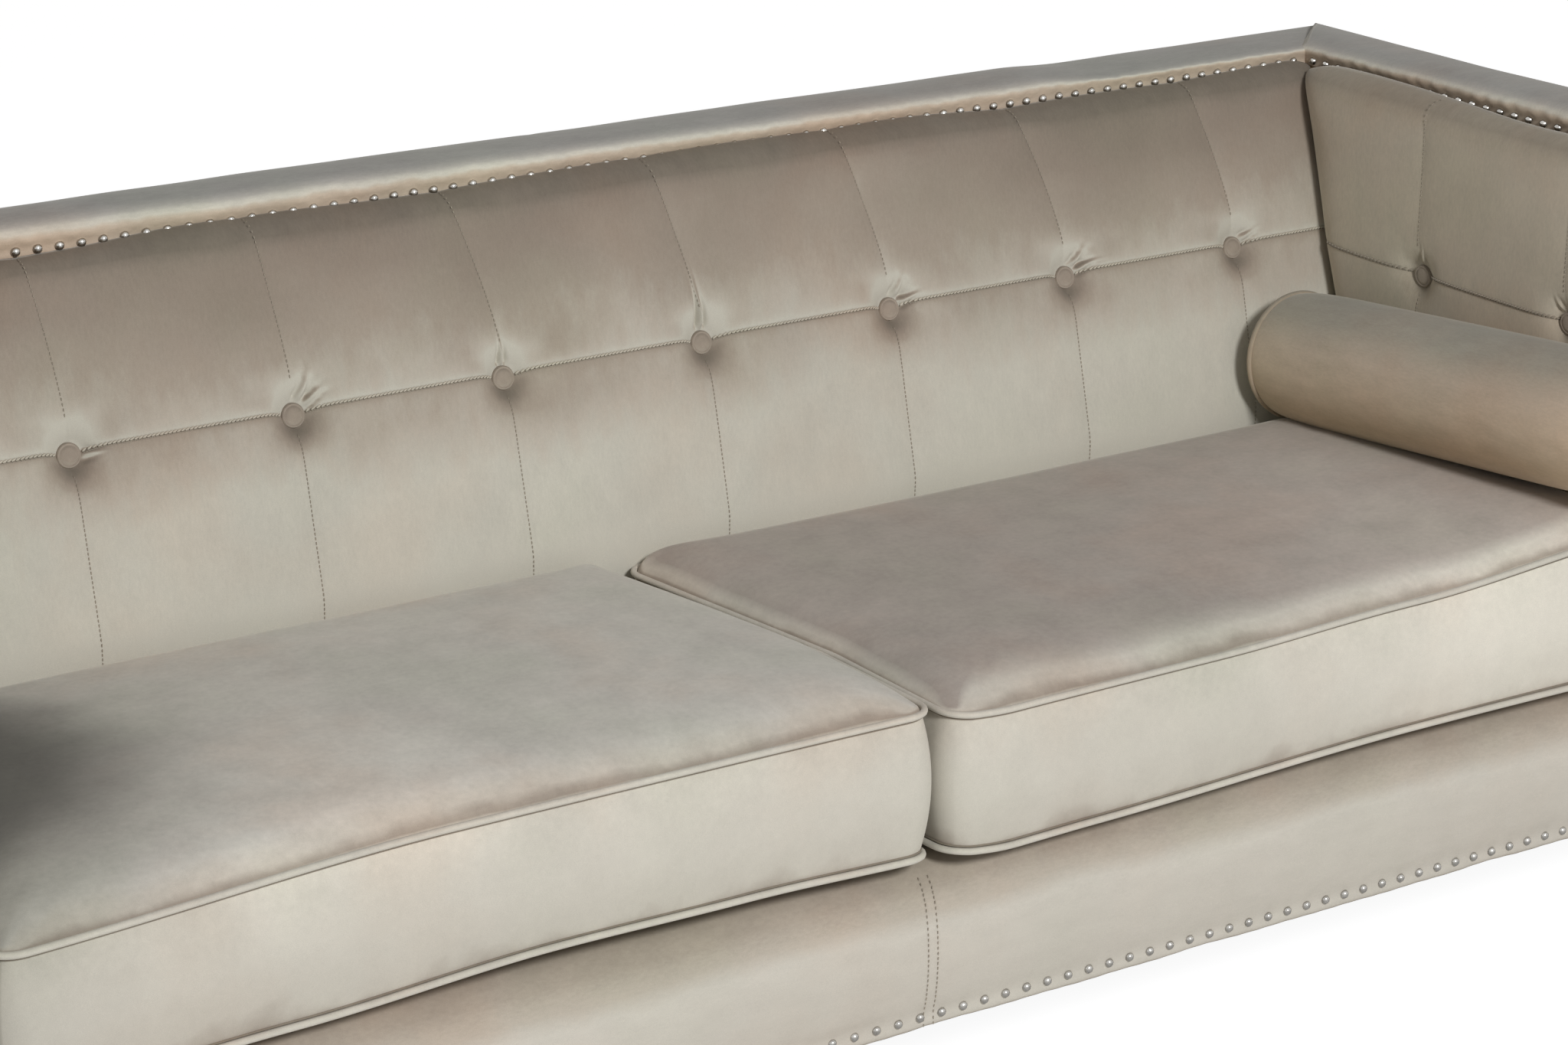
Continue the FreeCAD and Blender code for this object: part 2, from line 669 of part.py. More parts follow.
# The arm pads are upright, and their rear ends are cut to the slope of the back.
arm_backing, arm_face = at(ARM_BACKING), at(ARM_FACE)
arm_columns = int(size("arm_button_columns"))
first_y = rail_y + size("arm_button_first")
column_y = [first_y + index * size("arm_button_pitch") for index in range(arm_columns)]
arm_brow = arm_face + size("arm_taper")
arm_slope = Pad(vec(arm_face, 0, seat), vec(arm_brow, 0, brow_level), LEFT, BACK)
arm_section = arm_slope.section(vec(arm_backing, 0, pad_head), vec(arm_backing, 0, pad_foot))
arm_section.translate(vec(0, front_y, 0))
arm_bar = Part.Face(arm_section).extrude(vec(0, pad_brow - front_y, 0))

arm_clear = size("pad_gap") + size("pillow")
behind = [
    (pad_face - arm_clear, 0),
    (pad_face - arm_clear, seat),
    (pad_brow - arm_clear, brow_level),
    (pad_brow - arm_clear, size("height")),
    (rear_y, size("height")),
    (rear_y, 0),
]
back_room = flat([vec(0, y, z) for y, z in behind]).extrude(vec(side_x, 0, 0))

foam_y = front_y + size("foam_margin")
foam_long = pad_face - size("foam_margin") - foam_y
foam_corner = vec(arm_backing - size("arm_foam"), foam_y, at(FOAM_FOOT))
arm_foam = Part.makeBox(size("arm_foam"), foam_long, rail_foot - at(FOAM_FOOT), foam_corner)
arm_cuts = [arm_slope.channel(y, size("seam_depth")) for y in column_y]
arm_cuts += [arm_slope.channel(front_y, size("pad_end"))]
arm_cuts += [arm_slope.dimple(y) for y in column_y]
arm_pad = arm_bar.cut([back_room, arm_foam] + arm_cuts)
right_buttons = Part.makeCompound([arm_slope.button(y) for y in column_y])
for side, turn in (("right", lambda shape: shape), ("left", mirrored)):
    formed(f"arm_foam_{side}", turn(arm_foam))
    formed(f"inside_arm_pad_{side}", turn(arm_pad))
    formed(f"arm_buttons_{side}", turn(right_buttons))


# Nails: domed heads, as low pyramids, in rows under the capping and along the foot of the front.
def nail(place, out):
    rim = ring(place, out.cross(UP), UP, size("nail_wide") / 2, size("nail_sides"))
    tip = place + out * size("nail_tall")
    sides = [flat([first, second, tip]) for first, second in zip(rim, rim[1:] + rim[:1])]
    return Part.makeSolid(Part.makeShell([flat(rim)] + sides))


def spread(low, high, pitch):
    """Places at an even pitch, centred between two ends."""
    count = int((high - low) / pitch)
    first = (low + high - (count - 1) * pitch) / 2
    return [first + index * pitch for index in range(count)]


top_nail_z = at(LIP_FOOT) + size("nail_rise")
top_pitch = size("top_nail_pitch")
top_nails = [nail(vec(x, nail_y, top_nail_z), FRONT) for x in spread(-nail_x, nail_x, top_pitch)]
for y in spread(front_y, nail_y, top_pitch):
    top_nails.append(nail(vec(nail_x, y, top_nail_z), LEFT))
    top_nails.append(nail(vec(-nail_x, y, top_nail_z), RIGHT))
formed("capping_nails", Part.makeCompound(top_nails))

front_nail_z = hem + size("front_nail_rise")
front_pitch = size("front_nail_pitch")
front_nails = [nail(vec(x, rail_y, front_nail_z), FRONT) for x in spread(-end_x, end_x, front_pitch)]
for x in spread(end_x + facing_edge, side_x - facing_edge, front_pitch):
    front_nails.append(nail(vec(x, face_y, front_nail_z), FRONT))
    front_nails.append(nail(vec(-x, face_y, front_nail_z), FRONT))
formed("front_nails", Part.makeCompound(front_nails))


# Seat cushions: box cushions with piped edges, corners that stand out, sides that draw in, a crown.
def drawn_loop(middle, half_x, half_y, corner, draw):
    """A rounded rectangle whose sides curve inwards by draw between its corners."""
    reach_x, reach_y = half_x - corner, half_y - corner
    sweep_x = (reach_x ** 2 + draw ** 2) / (2 * draw)
    sweep_y = (reach_y ** 2 + draw ** 2) / (2 * draw)

    def spot(x, y):
        return middle + vec(x, y, 0)

    def on_long(side, end):
        ratio = corner / sweep_x
        return spot(side * reach_x * (1 - ratio), end * (reach_y + corner - draw * ratio))

    def on_short(side, end):
        ratio = corner / sweep_y
        return spot(side * (reach_x + corner - draw * ratio), end * reach_y * (1 - ratio))

    edges = []
    diagonal = corner * math.sqrt(0.5)
    for side, end in ((1, 1), (-1, 1), (-1, -1), (1, -1)):
        tip = spot(side * (reach_x + diagonal), end * (reach_y + diagonal))
        turns = [on_short(side, end), on_long(side, end)]
        side_middle, next_start = spot(0, end * (half_y - draw)), on_long(-side, end)
        if side != end:
            turns.reverse()
            side_middle, next_start = spot(side * (half_x - draw), 0), on_short(side, -end)
        edges.append(Part.Arc(turns[0], tip, turns[1]).toShape())
        edges.append(Part.Arc(turns[1], side_middle, next_start).toShape())
    return Part.Wire(edges)


cushion_in, cushion_out = at(CUSHION_IN), at(CUSHION_OUT)
cushion_front, cushion_rear = at(CUSHION_FRONT), at(CUSHION_REAR)
cushion_corner = size("crown_shoulder") + size("crown_corner")
half_x, half_y = (cushion_out - cushion_in) / 2, (cushion_rear - cushion_front) / 2
cushion_x, cushion_y = (cushion_out + cushion_in) / 2, (cushion_rear + cushion_front) / 2


def cushion_loop(level, inset):
    middle, corner = vec(cushion_x, cushion_y, level), cushion_corner - inset
    return drawn_loop(middle, half_x - inset, half_y - inset, corner, size("side_draw"))


def cushion_rings():
    """Levels and insets of the cushion's rings, from its flat foot up to the shoulder of its crown."""
    cord, bulge, shoulder = size("piping") / 2, size("border_bulge"), size("crown_shoulder")
    low, high = at(LOW_PIPING), at(HIGH_PIPING)
    return [
        (at(CUSHION_FOOT), shoulder),
        (low - cord, bulge),
        (low, bulge - cord),
        (low + cord, bulge),
        ((low + high) / 2, 0),
        (high - cord, bulge),
        (high, bulge - cord),
        (high + cord, bulge),
        (high + size("crown_rise"), shoulder),
    ]


def cushion_square(level, inset):
    """Corners of a rectangle inside the cushion's plan."""
    low_x, high_x = cushion_in + inset, cushion_out - inset
    low_y, high_y = cushion_front + inset, cushion_rear - inset
    plan = ((low_x, low_y), (high_x, low_y), (high_x, high_y), (low_x, high_y))
    return [vec(x, y, level) for x, y in plan]


crown_foot = cushion_square(at(HIGH_PIPING) + size("crown_rise"), cushion_corner)
crown_head = cushion_square(seat, cushion_corner + size("crown_fall"))
sides = Part.makeLoft([cushion_loop(*place) for place in cushion_rings()], True, True)
cushion = sides.fuse(faceted(crown_foot, crown_head))
core_in = size("core_inset")
core_foot, core_head = at(LOW_PIPING) + size("core_edge"), at(HIGH_PIPING) - size("core_edge")
core = faceted(cushion_square(core_foot, core_in), cushion_square(core_head, core_in))
cushion_cover = cushion.cut(core)
for side, turn in (("right", lambda shape: shape), ("left", mirrored)):
    formed(f"seat_cushion_cover_{side}", turn(cushion_cover))
    formed(f"seat_cushion_core_{side}", turn(core))

# Bolster, at the right arm: a foam cylinder in a tube of cover, with a piped edge and a domed disc
# at each end.
bolster_radius, disc_radius = size("bolster_wide") / 2, size("bolster_disc")
bolster_x, bolster_end = cushion_out - bolster_radius, at(BOLSTER_REAR)
bolster_half = size("bolster_long") / 2


def bolster_shape(level):
    """The bolster with its axis at one level, along the sofa's depth."""
    cord, neck = size("piping") / 2, bolster_radius - size("bolster_neck")
    tip = bolster_half - size("bolster_crown")
    half_profile = [
        (bolster_half, 0),
        (bolster_half, disc_radius),
        (tip, neck),
        (tip - cord, neck + cord),
        (tip - 2 * cord, neck),
        (tip - size("bolster_taper"), bolster_radius),
    ]
    ends = half_profile + [(-along, out) for along, out in reversed(half_profile)]
    middle = vec(bolster_x, bolster_end - bolster_half, level)
    return flat([middle + vec(0, along, out) for along, out in ends]).revolve(middle, BACK, 360)


# The bolster is lowered until it lies on the cushion.
bolster_level = seat + bolster_radius + size("rest_gap")
for settle in range(int(size("settling_steps"))):
    bolster_level -= bolster_shape(bolster_level).distToShape(cushion)[0] - size("rest_gap")
wrap = size("bolster_wrap")
core_long = size("bolster_long") - 2 * wrap
core_end = vec(bolster_x, bolster_end - wrap, bolster_level)
bolster_core = Part.makeCylinder(disc_radius, core_long, core_end, FRONT)
formed("bolster_cover_right", bolster_shape(bolster_level).cut(bolster_core))
formed("bolster_core_right", bolster_core)

doc.recompute()
for piece in doc.Objects:
    if {"Invalid", "Error"} & set(piece.State):
        raise RuntimeError(f"{piece.Name} failed to build: {piece.State}")
for label, piece in nodes.items():
    if piece.Shape.isNull() or not piece.Shape.isValid() or not piece.Shape.Solids:
        raise RuntimeError(f"{label} has no valid shape")

os.makedirs("parts", exist_ok=True)
for label, piece in nodes.items():
    piece.Shape.exportStep(f"parts/{label}.step")
box = Part.makeCompound([piece.Shape for piece in nodes.values()]).optimalBoundingBox()
print(f"{len(nodes)} pieces, {box.XLength:.1f} wide, {box.YLength:.1f} deep, {box.ZLength:.1f} tall")
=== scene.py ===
import math

import bmesh
import bpy
from mathutils import Matrix, Vector, noise


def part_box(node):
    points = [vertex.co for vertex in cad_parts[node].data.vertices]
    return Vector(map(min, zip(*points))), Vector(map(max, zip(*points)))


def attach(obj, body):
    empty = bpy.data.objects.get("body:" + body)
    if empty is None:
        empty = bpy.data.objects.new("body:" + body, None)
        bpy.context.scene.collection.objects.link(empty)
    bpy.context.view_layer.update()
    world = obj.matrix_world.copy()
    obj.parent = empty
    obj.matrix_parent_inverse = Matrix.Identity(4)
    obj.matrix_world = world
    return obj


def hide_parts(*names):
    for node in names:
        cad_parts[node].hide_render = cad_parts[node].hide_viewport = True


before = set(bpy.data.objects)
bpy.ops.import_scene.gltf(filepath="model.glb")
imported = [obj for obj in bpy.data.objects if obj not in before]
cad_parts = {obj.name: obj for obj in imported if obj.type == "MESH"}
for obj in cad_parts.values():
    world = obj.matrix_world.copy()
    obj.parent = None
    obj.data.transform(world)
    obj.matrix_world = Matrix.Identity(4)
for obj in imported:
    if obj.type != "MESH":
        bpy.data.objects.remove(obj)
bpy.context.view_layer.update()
scene = bpy.context.scene
scene.view_settings.view_transform = "Standard"


# Seat cushions. Each is a slab of foam in a loose velvet box cover: a crowned top and a flat bottom,
# sewn to an upright border along two corded seams. The corners stand out and the sides draw in.
class Net:
    """An output in a material's node tree, which adds and multiplies like a number."""

    def __init__(self, tree, socket=None):
        self.tree, self.socket = tree, socket

    def node(self, kind, output=0, inputs=None, **settings):
        """A new node with its settings made and its inputs set or linked."""
        made = self.tree.nodes.new(kind)
        for name, setting in settings.items():
            setattr(made, name, setting)
        for key, value in (inputs or {}).items():
            if isinstance(value, Net):
                self.tree.links.new(value.socket, made.inputs[key])
            else:
                made.inputs[key].default_value = value
        return Net(self.tree, made.outputs[output])

    def math(self, operation, first, second):
        return self.node("ShaderNodeMath", 0, {0: first, 1: second}, operation=operation)

    def place(self, stretch=None):
        """The place on a piece, along its own axes, each multiplied where stretch is given."""
        place = self.node("ShaderNodeTexCoord", "Object")
        if stretch is None:
            return place
        return self.node("ShaderNodeVectorMath", 0, {0: place, 1: stretch}, operation="MULTIPLY")

    def axis(self, name):
        """One axis of this vector, as a number."""
        return self.node("ShaderNodeSeparateXYZ", name, {0: self})

    def speckle(self, scale, detail):
        """Soft noise at this place."""
        return self.node("ShaderNodeTexNoise", 0, {"Vector": self, "Scale": scale, "Detail": detail})

    def mixed(self, other, share, how="MIX"):
        """This colour blended with another."""
        return self.node("ShaderNodeMix", 2, {0: share, 6: self, 7: other}, data_type="RGBA", blend_type=how)

    def spread(self, low, high, start=0.0, end=1.0):
        """This number carried from one range to another, eased and clamped."""
        inputs = {"Value": self, "From Min": low, "From Max": high, "To Min": start, "To Max": end}
        return self.node("ShaderNodeMapRange", 0, inputs, interpolation_type="SMOOTHSTEP")

    def ramp(self, stops):
        """This number turned into a colour by a list of places and colours."""
        made = self.node("ShaderNodeValToRGB", 0, {0: self})
        elements = made.socket.node.color_ramp.elements
        while len(elements) < len(stops):
            elements.new(0.5)
        for element, (place, colour) in zip(elements, stops):
            element.position, element.color = place, (*colour, 1)
        return made

    def bump(self, strength, distance):
        """The normal of a surface that this number raises."""
        return self.node("ShaderNodeBump", 0, {"Strength": strength, "Distance": distance, "Height": self})

    def feeds(self, shader, name):
        """Link this output to an input of a shader."""
        self.tree.links.new(self.socket, shader.inputs[name])

    def __add__(self, other):
        return self.math("ADD", self, other)

    def __sub__(self, other):
        return self.math("SUBTRACT", self, other)

    def __rsub__(self, other):
        return self.math("SUBTRACT", other, self)

    def __mul__(self, other):
        return self.math("MULTIPLY", self, other)

    def __truediv__(self, other):
        return self.math("DIVIDE", self, other)

    __radd__, __rmul__ = __add__, __mul__


def surface(name, roughness, specular, metallic=0.0):
    """A new material, its shader, and the start of its net."""
    material = bpy.data.materials.new(name)
    material.use_nodes = True
    shader = material.node_tree.nodes["Principled BSDF"]
    shader.inputs["Roughness"].default_value = roughness
    shader.inputs["Specular IOR Level"].default_value = specular
    shader.inputs["Metallic"].default_value = metallic
    return material, shader, Net(material.node_tree)


# The pile's noises, broad and fine, each with its scale and detail.
CLOUD, PATCH, HUE = (5.5, 3.0), (8.0, 4.0), (5.0, 4.0)
STROKE, FLECK, TUFT = (26.0, 5.0), (150.0, 4.0), (1400.0, 2.0)
# How far they turn the tilt that the painted shade follows, in degrees, and shift the edges of drifts and of
# painted shadows and pale spots, in metres.
CLOUD_TURN, STROKE_TURN, DRIFT_EDGE, SPOT_EDGE = 20.0, 12.0, 0.05, 0.1
# How much they shade the pile, and the tilt, in degrees, from which it is mottled in full.
PATCH_SHADE, STROKE_SHADE, FLECK_SHADE, TUFT_SHADE, MOTTLED_TILT = 0.3, 0.3, 0.24, 0.3, 24.0
TUFT_RISE, PATCH_RISE, PILE_BUMP, PILE_DEPTH = 0.35, 1.5, 0.2, 0.0012
TINTS = [(0.36, (1.0, 0.95, 0.925)), (0.5, (1, 1, 1)), (0.66, (0.975, 1, 0.975))]


def velvet(name, tone_and_shade, brush=(1, 1, 1), shadows_and_pale_spots=(), shade_drift=(), aside=0.0, calm=1.0):
    """Mink velvet. tone_and_shade gives the colour by the tilt of a face, from 0 degrees ahead to 90 up: the
    velvet's own tone with painted light and shade by how each face meets the light.

    brush narrows the strokes along an axis, shadows_and_pale_spots lists places painted darker as shadows or
    paler, and shade_drift turns the tilt that the painted shade follows by height. aside makes a face that
    looks sideways count as one that looks further up, so that it takes that painted shade, and calm is the
    share of mottling left on upright faces.
    """
    material, shader, net = surface(name, 0.85, 0.2)
    place, strokes = net.place(), net.place(brush)
    normal = net.node("ShaderNodeNewGeometry", "Normal")
    sideways = net.math("ABSOLUTE", normal.axis("X"), 0.0)
    rise = net.math("MINIMUM", normal.axis("Z") * (1.0 + sideways * aside), 1.0)
    tilt = net.math("ARCSINE", rise, 0.0) * math.degrees(1)
    mottle = tilt.spread(0.0, MOTTLED_TILT, calm, 1.0)
    cloud, patch, tuft = place.speckle(*CLOUD), place.speckle(*PATCH), place.speckle(*TUFT)
    stroke, fleck = strokes.speckle(*STROKE), strokes.speckle(*FLECK)
    tilt = tilt + (cloud - 0.5) * CLOUD_TURN + (stroke - 0.5) * STROKE_TURN
    height = place.axis("Z") + (patch - 0.5) * DRIFT_EDGE
    for low, high, start, end in shade_drift:
        tilt = tilt + height.spread(low, high, start, end)
    # The velvet's own tone with painted light and shade, by the tilt of each face.
    pile_and_shade = ((tilt + 90.0) / 180.0).ramp([((degrees + 90) / 180, colour) for degrees, colour in tone_and_shade])
    shade = (patch - 0.5) * PATCH_SHADE + (stroke - 0.5) * STROKE_SHADE + (fleck - 0.5) * FLECK_SHADE
    shade = 1.0 + mottle * shade + (tuft - 0.5) * TUFT_SHADE
    # Painted shadows and paler spots: round places darkened or lightened in the colour.
    for centre, inner, outer, depth in shadows_and_pale_spots:
        away = net.node("ShaderNodeVectorMath", "Value", {0: place, 1: centre}, operation="DISTANCE")
        shade = shade * (away + (cloud - 0.5) * SPOT_EDGE).spread(inner, outer, depth, 1.0)
    tint = place.speckle(*HUE).ramp(TINTS)
    grey = net.node("ShaderNodeCombineXYZ", 0, {0: shade, 1: shade, 2: shade})
    pile_and_shade.mixed(tint, mottle, "MULTIPLY").mixed(grey, 1.0, "MULTIPLY").feeds(shader, "Base Color")
    (tuft * TUFT_RISE + stroke + patch * PATCH_RISE).bump(PILE_BUMP, PILE_DEPTH).feeds(shader, "Normal")
    shader.inputs["Sheen Weight"].default_value = 0.22
    shader.inputs["Sheen Roughness"].default_value = 0.4
    shader.inputs["Sheen Tint"].default_value = (0.9, 0.87, 0.8, 1)
    return material


def placed(name, data):
    """A new object in the scene."""
    made = bpy.data.objects.new(name, data)
    scene.collection.objects.link(made)
    return made


def mesh_of(name, bm):
    """The mesh of a finished shape."""
    mesh = bpy.data.meshes.new(name)
    bm.to_mesh(mesh)
    bm.free()
    return mesh


def piece(name, bm, material, body, slot, *nodes):
    """A finished piece that rides on a body and stands for the CAD nodes named."""
    bmesh.ops.recalc_face_normals(bm, faces=bm.faces)
    made = placed(name, mesh_of(name, bm))
    made.data.materials.append(material)
    made.data.shade_smooth()
    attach(made, body)
    if nodes:
        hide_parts(*nodes)
    return made


def lattice(cuts):
    """A cube of edge 2 about the origin, cut into a grid along each axis."""
    bm = bmesh.new()
    bmesh.ops.create_cube(bm, size=2)
    for axis, count in enumerate(cuts):
        along = [edge for edge in bm.edges if abs((edge.verts[0].co - edge.verts[1].co)[axis]) > 1e-4]
        bmesh.ops.subdivide_edges(bm, edges=along, cuts=count, use_grid_fill=True)
    return bm


def draft_of(bm):
    """A passing object that holds a copy of a shape for a modifier to work on."""
    mesh = bpy.data.meshes.new("draft")
    bm.to_mesh(mesh)
    return placed("draft", mesh)


def taken(passing):
    """The mesh that a passing object shows. The object is removed."""
    mesh = bpy.data.meshes.new_from_object(passing.evaluated_get(bpy.context.evaluated_depsgraph_get()))
    bpy.data.objects.remove(passing)
    return mesh


def swollen(bm, held, pressure, cap, frames=20):
    """Let a cover swell between its held seams, and take as much of it as moves no point past the cap."""
    bm.verts.index_update()
    draft = draft_of(bm)
    modifier = draft.modifiers.new("swelling", "CLOTH")
    draft.vertex_groups.new(name="held").add([vert.index for vert in held], 1.0, "REPLACE")
    cloth = modifier.settings
    cloth.vertex_group_mass = "held"
    cloth.use_pressure, cloth.uniform_pressure_force = True, pressure
    cloth.effector_weights.gravity = 0
    modifier.point_cache.frame_end = frames
    for number in range(1, frames + 1):
        scene.frame_set(number)
    moves = [new.co - vert.co for vert, new in zip(bm.verts, taken(draft).vertices)]
    scene.frame_set(1)
    share = min(1.0, cap / max(move.length for move in moves))
    for vert, move in zip(bm.verts, moves):
        vert.co += move * share


def smoothed(bm):
    """Give a shape one round of subdivision."""
    draft = draft_of(bm)
    modifier = draft.modifiers.new("smooth", "SUBSURF")
    modifier.levels = modifier.render_levels = 1
    made = taken(draft)
    bm.clear()
    bm.from_mesh(made)


def corded(bm, loop, radius):
    """Add a closed tube of cord along a loop of points."""
    curve = bpy.data.curves.new("cord", "CURVE")
    curve.dimensions, curve.bevel_depth, curve.bevel_resolution = "3D", radius, 3
    spline = curve.splines.new("NURBS")
    spline.points.add(len(loop) - 1)
    for point, place in zip(spline.points, loop):
        point.co = (*place, 1)
    spline.use_cyclic_u, spline.order_u, spline.resolution_u = True, 3, 2
    bm.from_mesh(taken(placed("cord", curve)))


def crowded(t, crowd=0.85):
    """Draw evenly spaced grid lines towards both ends."""
    return math.sin(crowd * t * math.pi / 2) / math.sin(crowd * math.pi / 2)


def rounded(x, y, half_x, half_y, radius):
    """A point of a rectangle's grid, moved so that the rectangle's corners are round."""
    over_x, over_y = abs(x) - half_x + radius, abs(y) - half_y + radius
    if over_x > 0 and over_y > 0:
        pull = max(over_x, over_y) / math.hypot(over_x, over_y)
        x = math.copysign(half_x - radius + over_x * pull, x)
        y = math.copysign(half_y - radius + over_y * pull, y)
    return x, y


def from_edge(x, y, half_x, half_y, radius):
    """How far a point lies inside a rectangle with round corners."""
    over_x, over_y = abs(x) - half_x + radius, abs(y) - half_y + radius
    outside = math.hypot(max(over_x, 0), max(over_y, 0))
    return max(0.0, radius - outside - min(max(over_x, over_y), 0))


def climb(distance, length):
    """Rise from 0 at an edge towards 1 further in."""
    return 1 - math.exp(-max(distance, 0.0) / length)


def eased(points, x):
    """A smooth curve through a few points."""
    for (left, low), (right, high) in zip(points, points[1:]):
        if x <= right:
            share = max(0.0, (x - left) / (right - left))
            return low + (high - low) * share * share * (3 - 2 * share)
    return points[-1][1]


def ruffle(height, place):
    """A rise or fall of the cloth, of this height at most, that wanders from place to place."""
    return noise.noise(Vector(place)) * height


SIDES = {"right": 1, "left": -1}
# Colours by the tilt of a face: the mink tone with painted light and shade. The upright border is pale. Where
# the border turns under at its foot, and in the band just above the front piping, it is painted dark. The
# rolled front edge is painted paler and the top darker.
SEAT_TONE_AND_SHADE = [
    (-22, (0.36, 0.31, 0.258)),
    (-13, (0.56, 0.525, 0.455)),
    (0, (0.58, 0.548, 0.478)),
    (28, (0.56, 0.525, 0.452)),
    (39, (0.34, 0.293, 0.243)),
    (46, (0.37, 0.322, 0.27)),
    (54, (0.52, 0.475, 0.41)),
    (64, (0.55, 0.512, 0.448)),
]
# The tops: the right cushion's is painted darker and browner than its border, the left one's greyer and
# nearly as pale.
TOP_TONES_AND_SHADES = {
    "right": [(74, (0.46, 0.42, 0.372)), (83, (0.395, 0.35, 0.312))],
    "left": [(74, (0.57, 0.54, 0.485)), (83, (0.55, 0.525, 0.475))],
}
# Each painted place has its centre, an inner and an outer radius, and how bright it is at its middle: the
# dark places on the left cushion are a painted shadow of the left arm, and the places brighter than 1 are
# paler spots towards the front.
PAINTED_SHADOWS_AND_PALE_SPOTS = {
    "right": [((0.8, -0.3, 0.45), 0.1, 0.45, 1.25)],
    "left": [
        ((-0.95, -0.05, 0.44), 0.1, 0.44, 0.4),
        ((-0.89, -0.06, 0.44), 0.13, 0.25, 0.45),
        ((-0.62, -0.33, 0.63), 0.18, 0.3, 1.17),
    ],
}
# Colours of the piping and the bolster's ends by tilt, painted a little darker as shade where they look up.
PALE_TONE_AND_SHADE = [(0, (0.58, 0.548, 0.478)), (30, (0.56, 0.525, 0.452)), (64, (0.52, 0.485, 0.425))]
# Colours of the seam thread by tilt, painted darker as shade where it looks up.
SEAM_TONE_AND_SHADE = [(-30, (0.3, 0.26, 0.21)), (30, (0.22, 0.185, 0.145))]
SEAT_ASIDE, CALM = 0.35, 0.35
# How far the upper and lower front edges rise above a straight line, from the left arm to the right.
TOP_EDGES = {
    "right": [(0.0, 0.004), (0.1, -0.003), (0.35, -0.003), (0.6, 0.004), (0.93, 0.024)],
    "left": [(-0.93, -0.004), (-0.5, 0.013), (0.0, 0.013)],
}
FOOT_EDGES = {
    "right": [(0.0, 0.008), (0.1, -0.003), (0.2, -0.002), (0.6, 0.008), (0.93, 0.006)],
    "left": [(-0.93, 0.0), (-0.66, 0.007), (-0.4, 0.019), (-0.2, 0.016), (0.0, 0.01)],
}
FOOT_SEAM, TOP_SEAM, CROWN_SPARE, FOOT_CROWN = 0.008, 0.149, 0.002, 0.008
CORNER, BORDER_BULGE, DRAW, INNER_BULGE = 0.036, 0.011, 0.006, 0.0015
REAR_RISE, FRONT_RISE, SIDE_RISE, CORNER_RISE, FOOT_RISE = 0.004, 0.024, 0.02, 0.01, 0.008
GAP_AHEAD, GAP_BEHIND, GAP_TURN, OVERHANG = 0.015, -0.028, 1.6, 0.07
DENT, DENT_SCALE, DENT_SEEDS = 0.0012, 6, {"right": 3.1, "left": 8.7}
CUSHION_CUTS, CUSHION_PRESSURE, CUSHION_CAP, FLUSH = (95, 55, 15), 4.0, 0.006, 0.999
RIM_STEPS = 40
CORD, CORD_LINE, CORD_PROUD = 0.0034, 0.9985, 0.0035
SEAM_THREAD, SEAM_LINE, SEAM_PROUD = 0.0009, 0.93, 0.0004
cord_look, seam_look = velvet("piping_velvet", PALE_TONE_AND_SHADE, calm=CALM), velvet("seam_thread", SEAM_TONE_AND_SHADE)
rim_steps = [step / RIM_STEPS for step in range(-RIM_STEPS, RIM_STEPS)]
rim = [(t, -1) for t in rim_steps] + [(1, t) for t in rim_steps]
rim += [(-t, 1) for t in rim_steps] + [(-1, -t) for t in rim_steps]
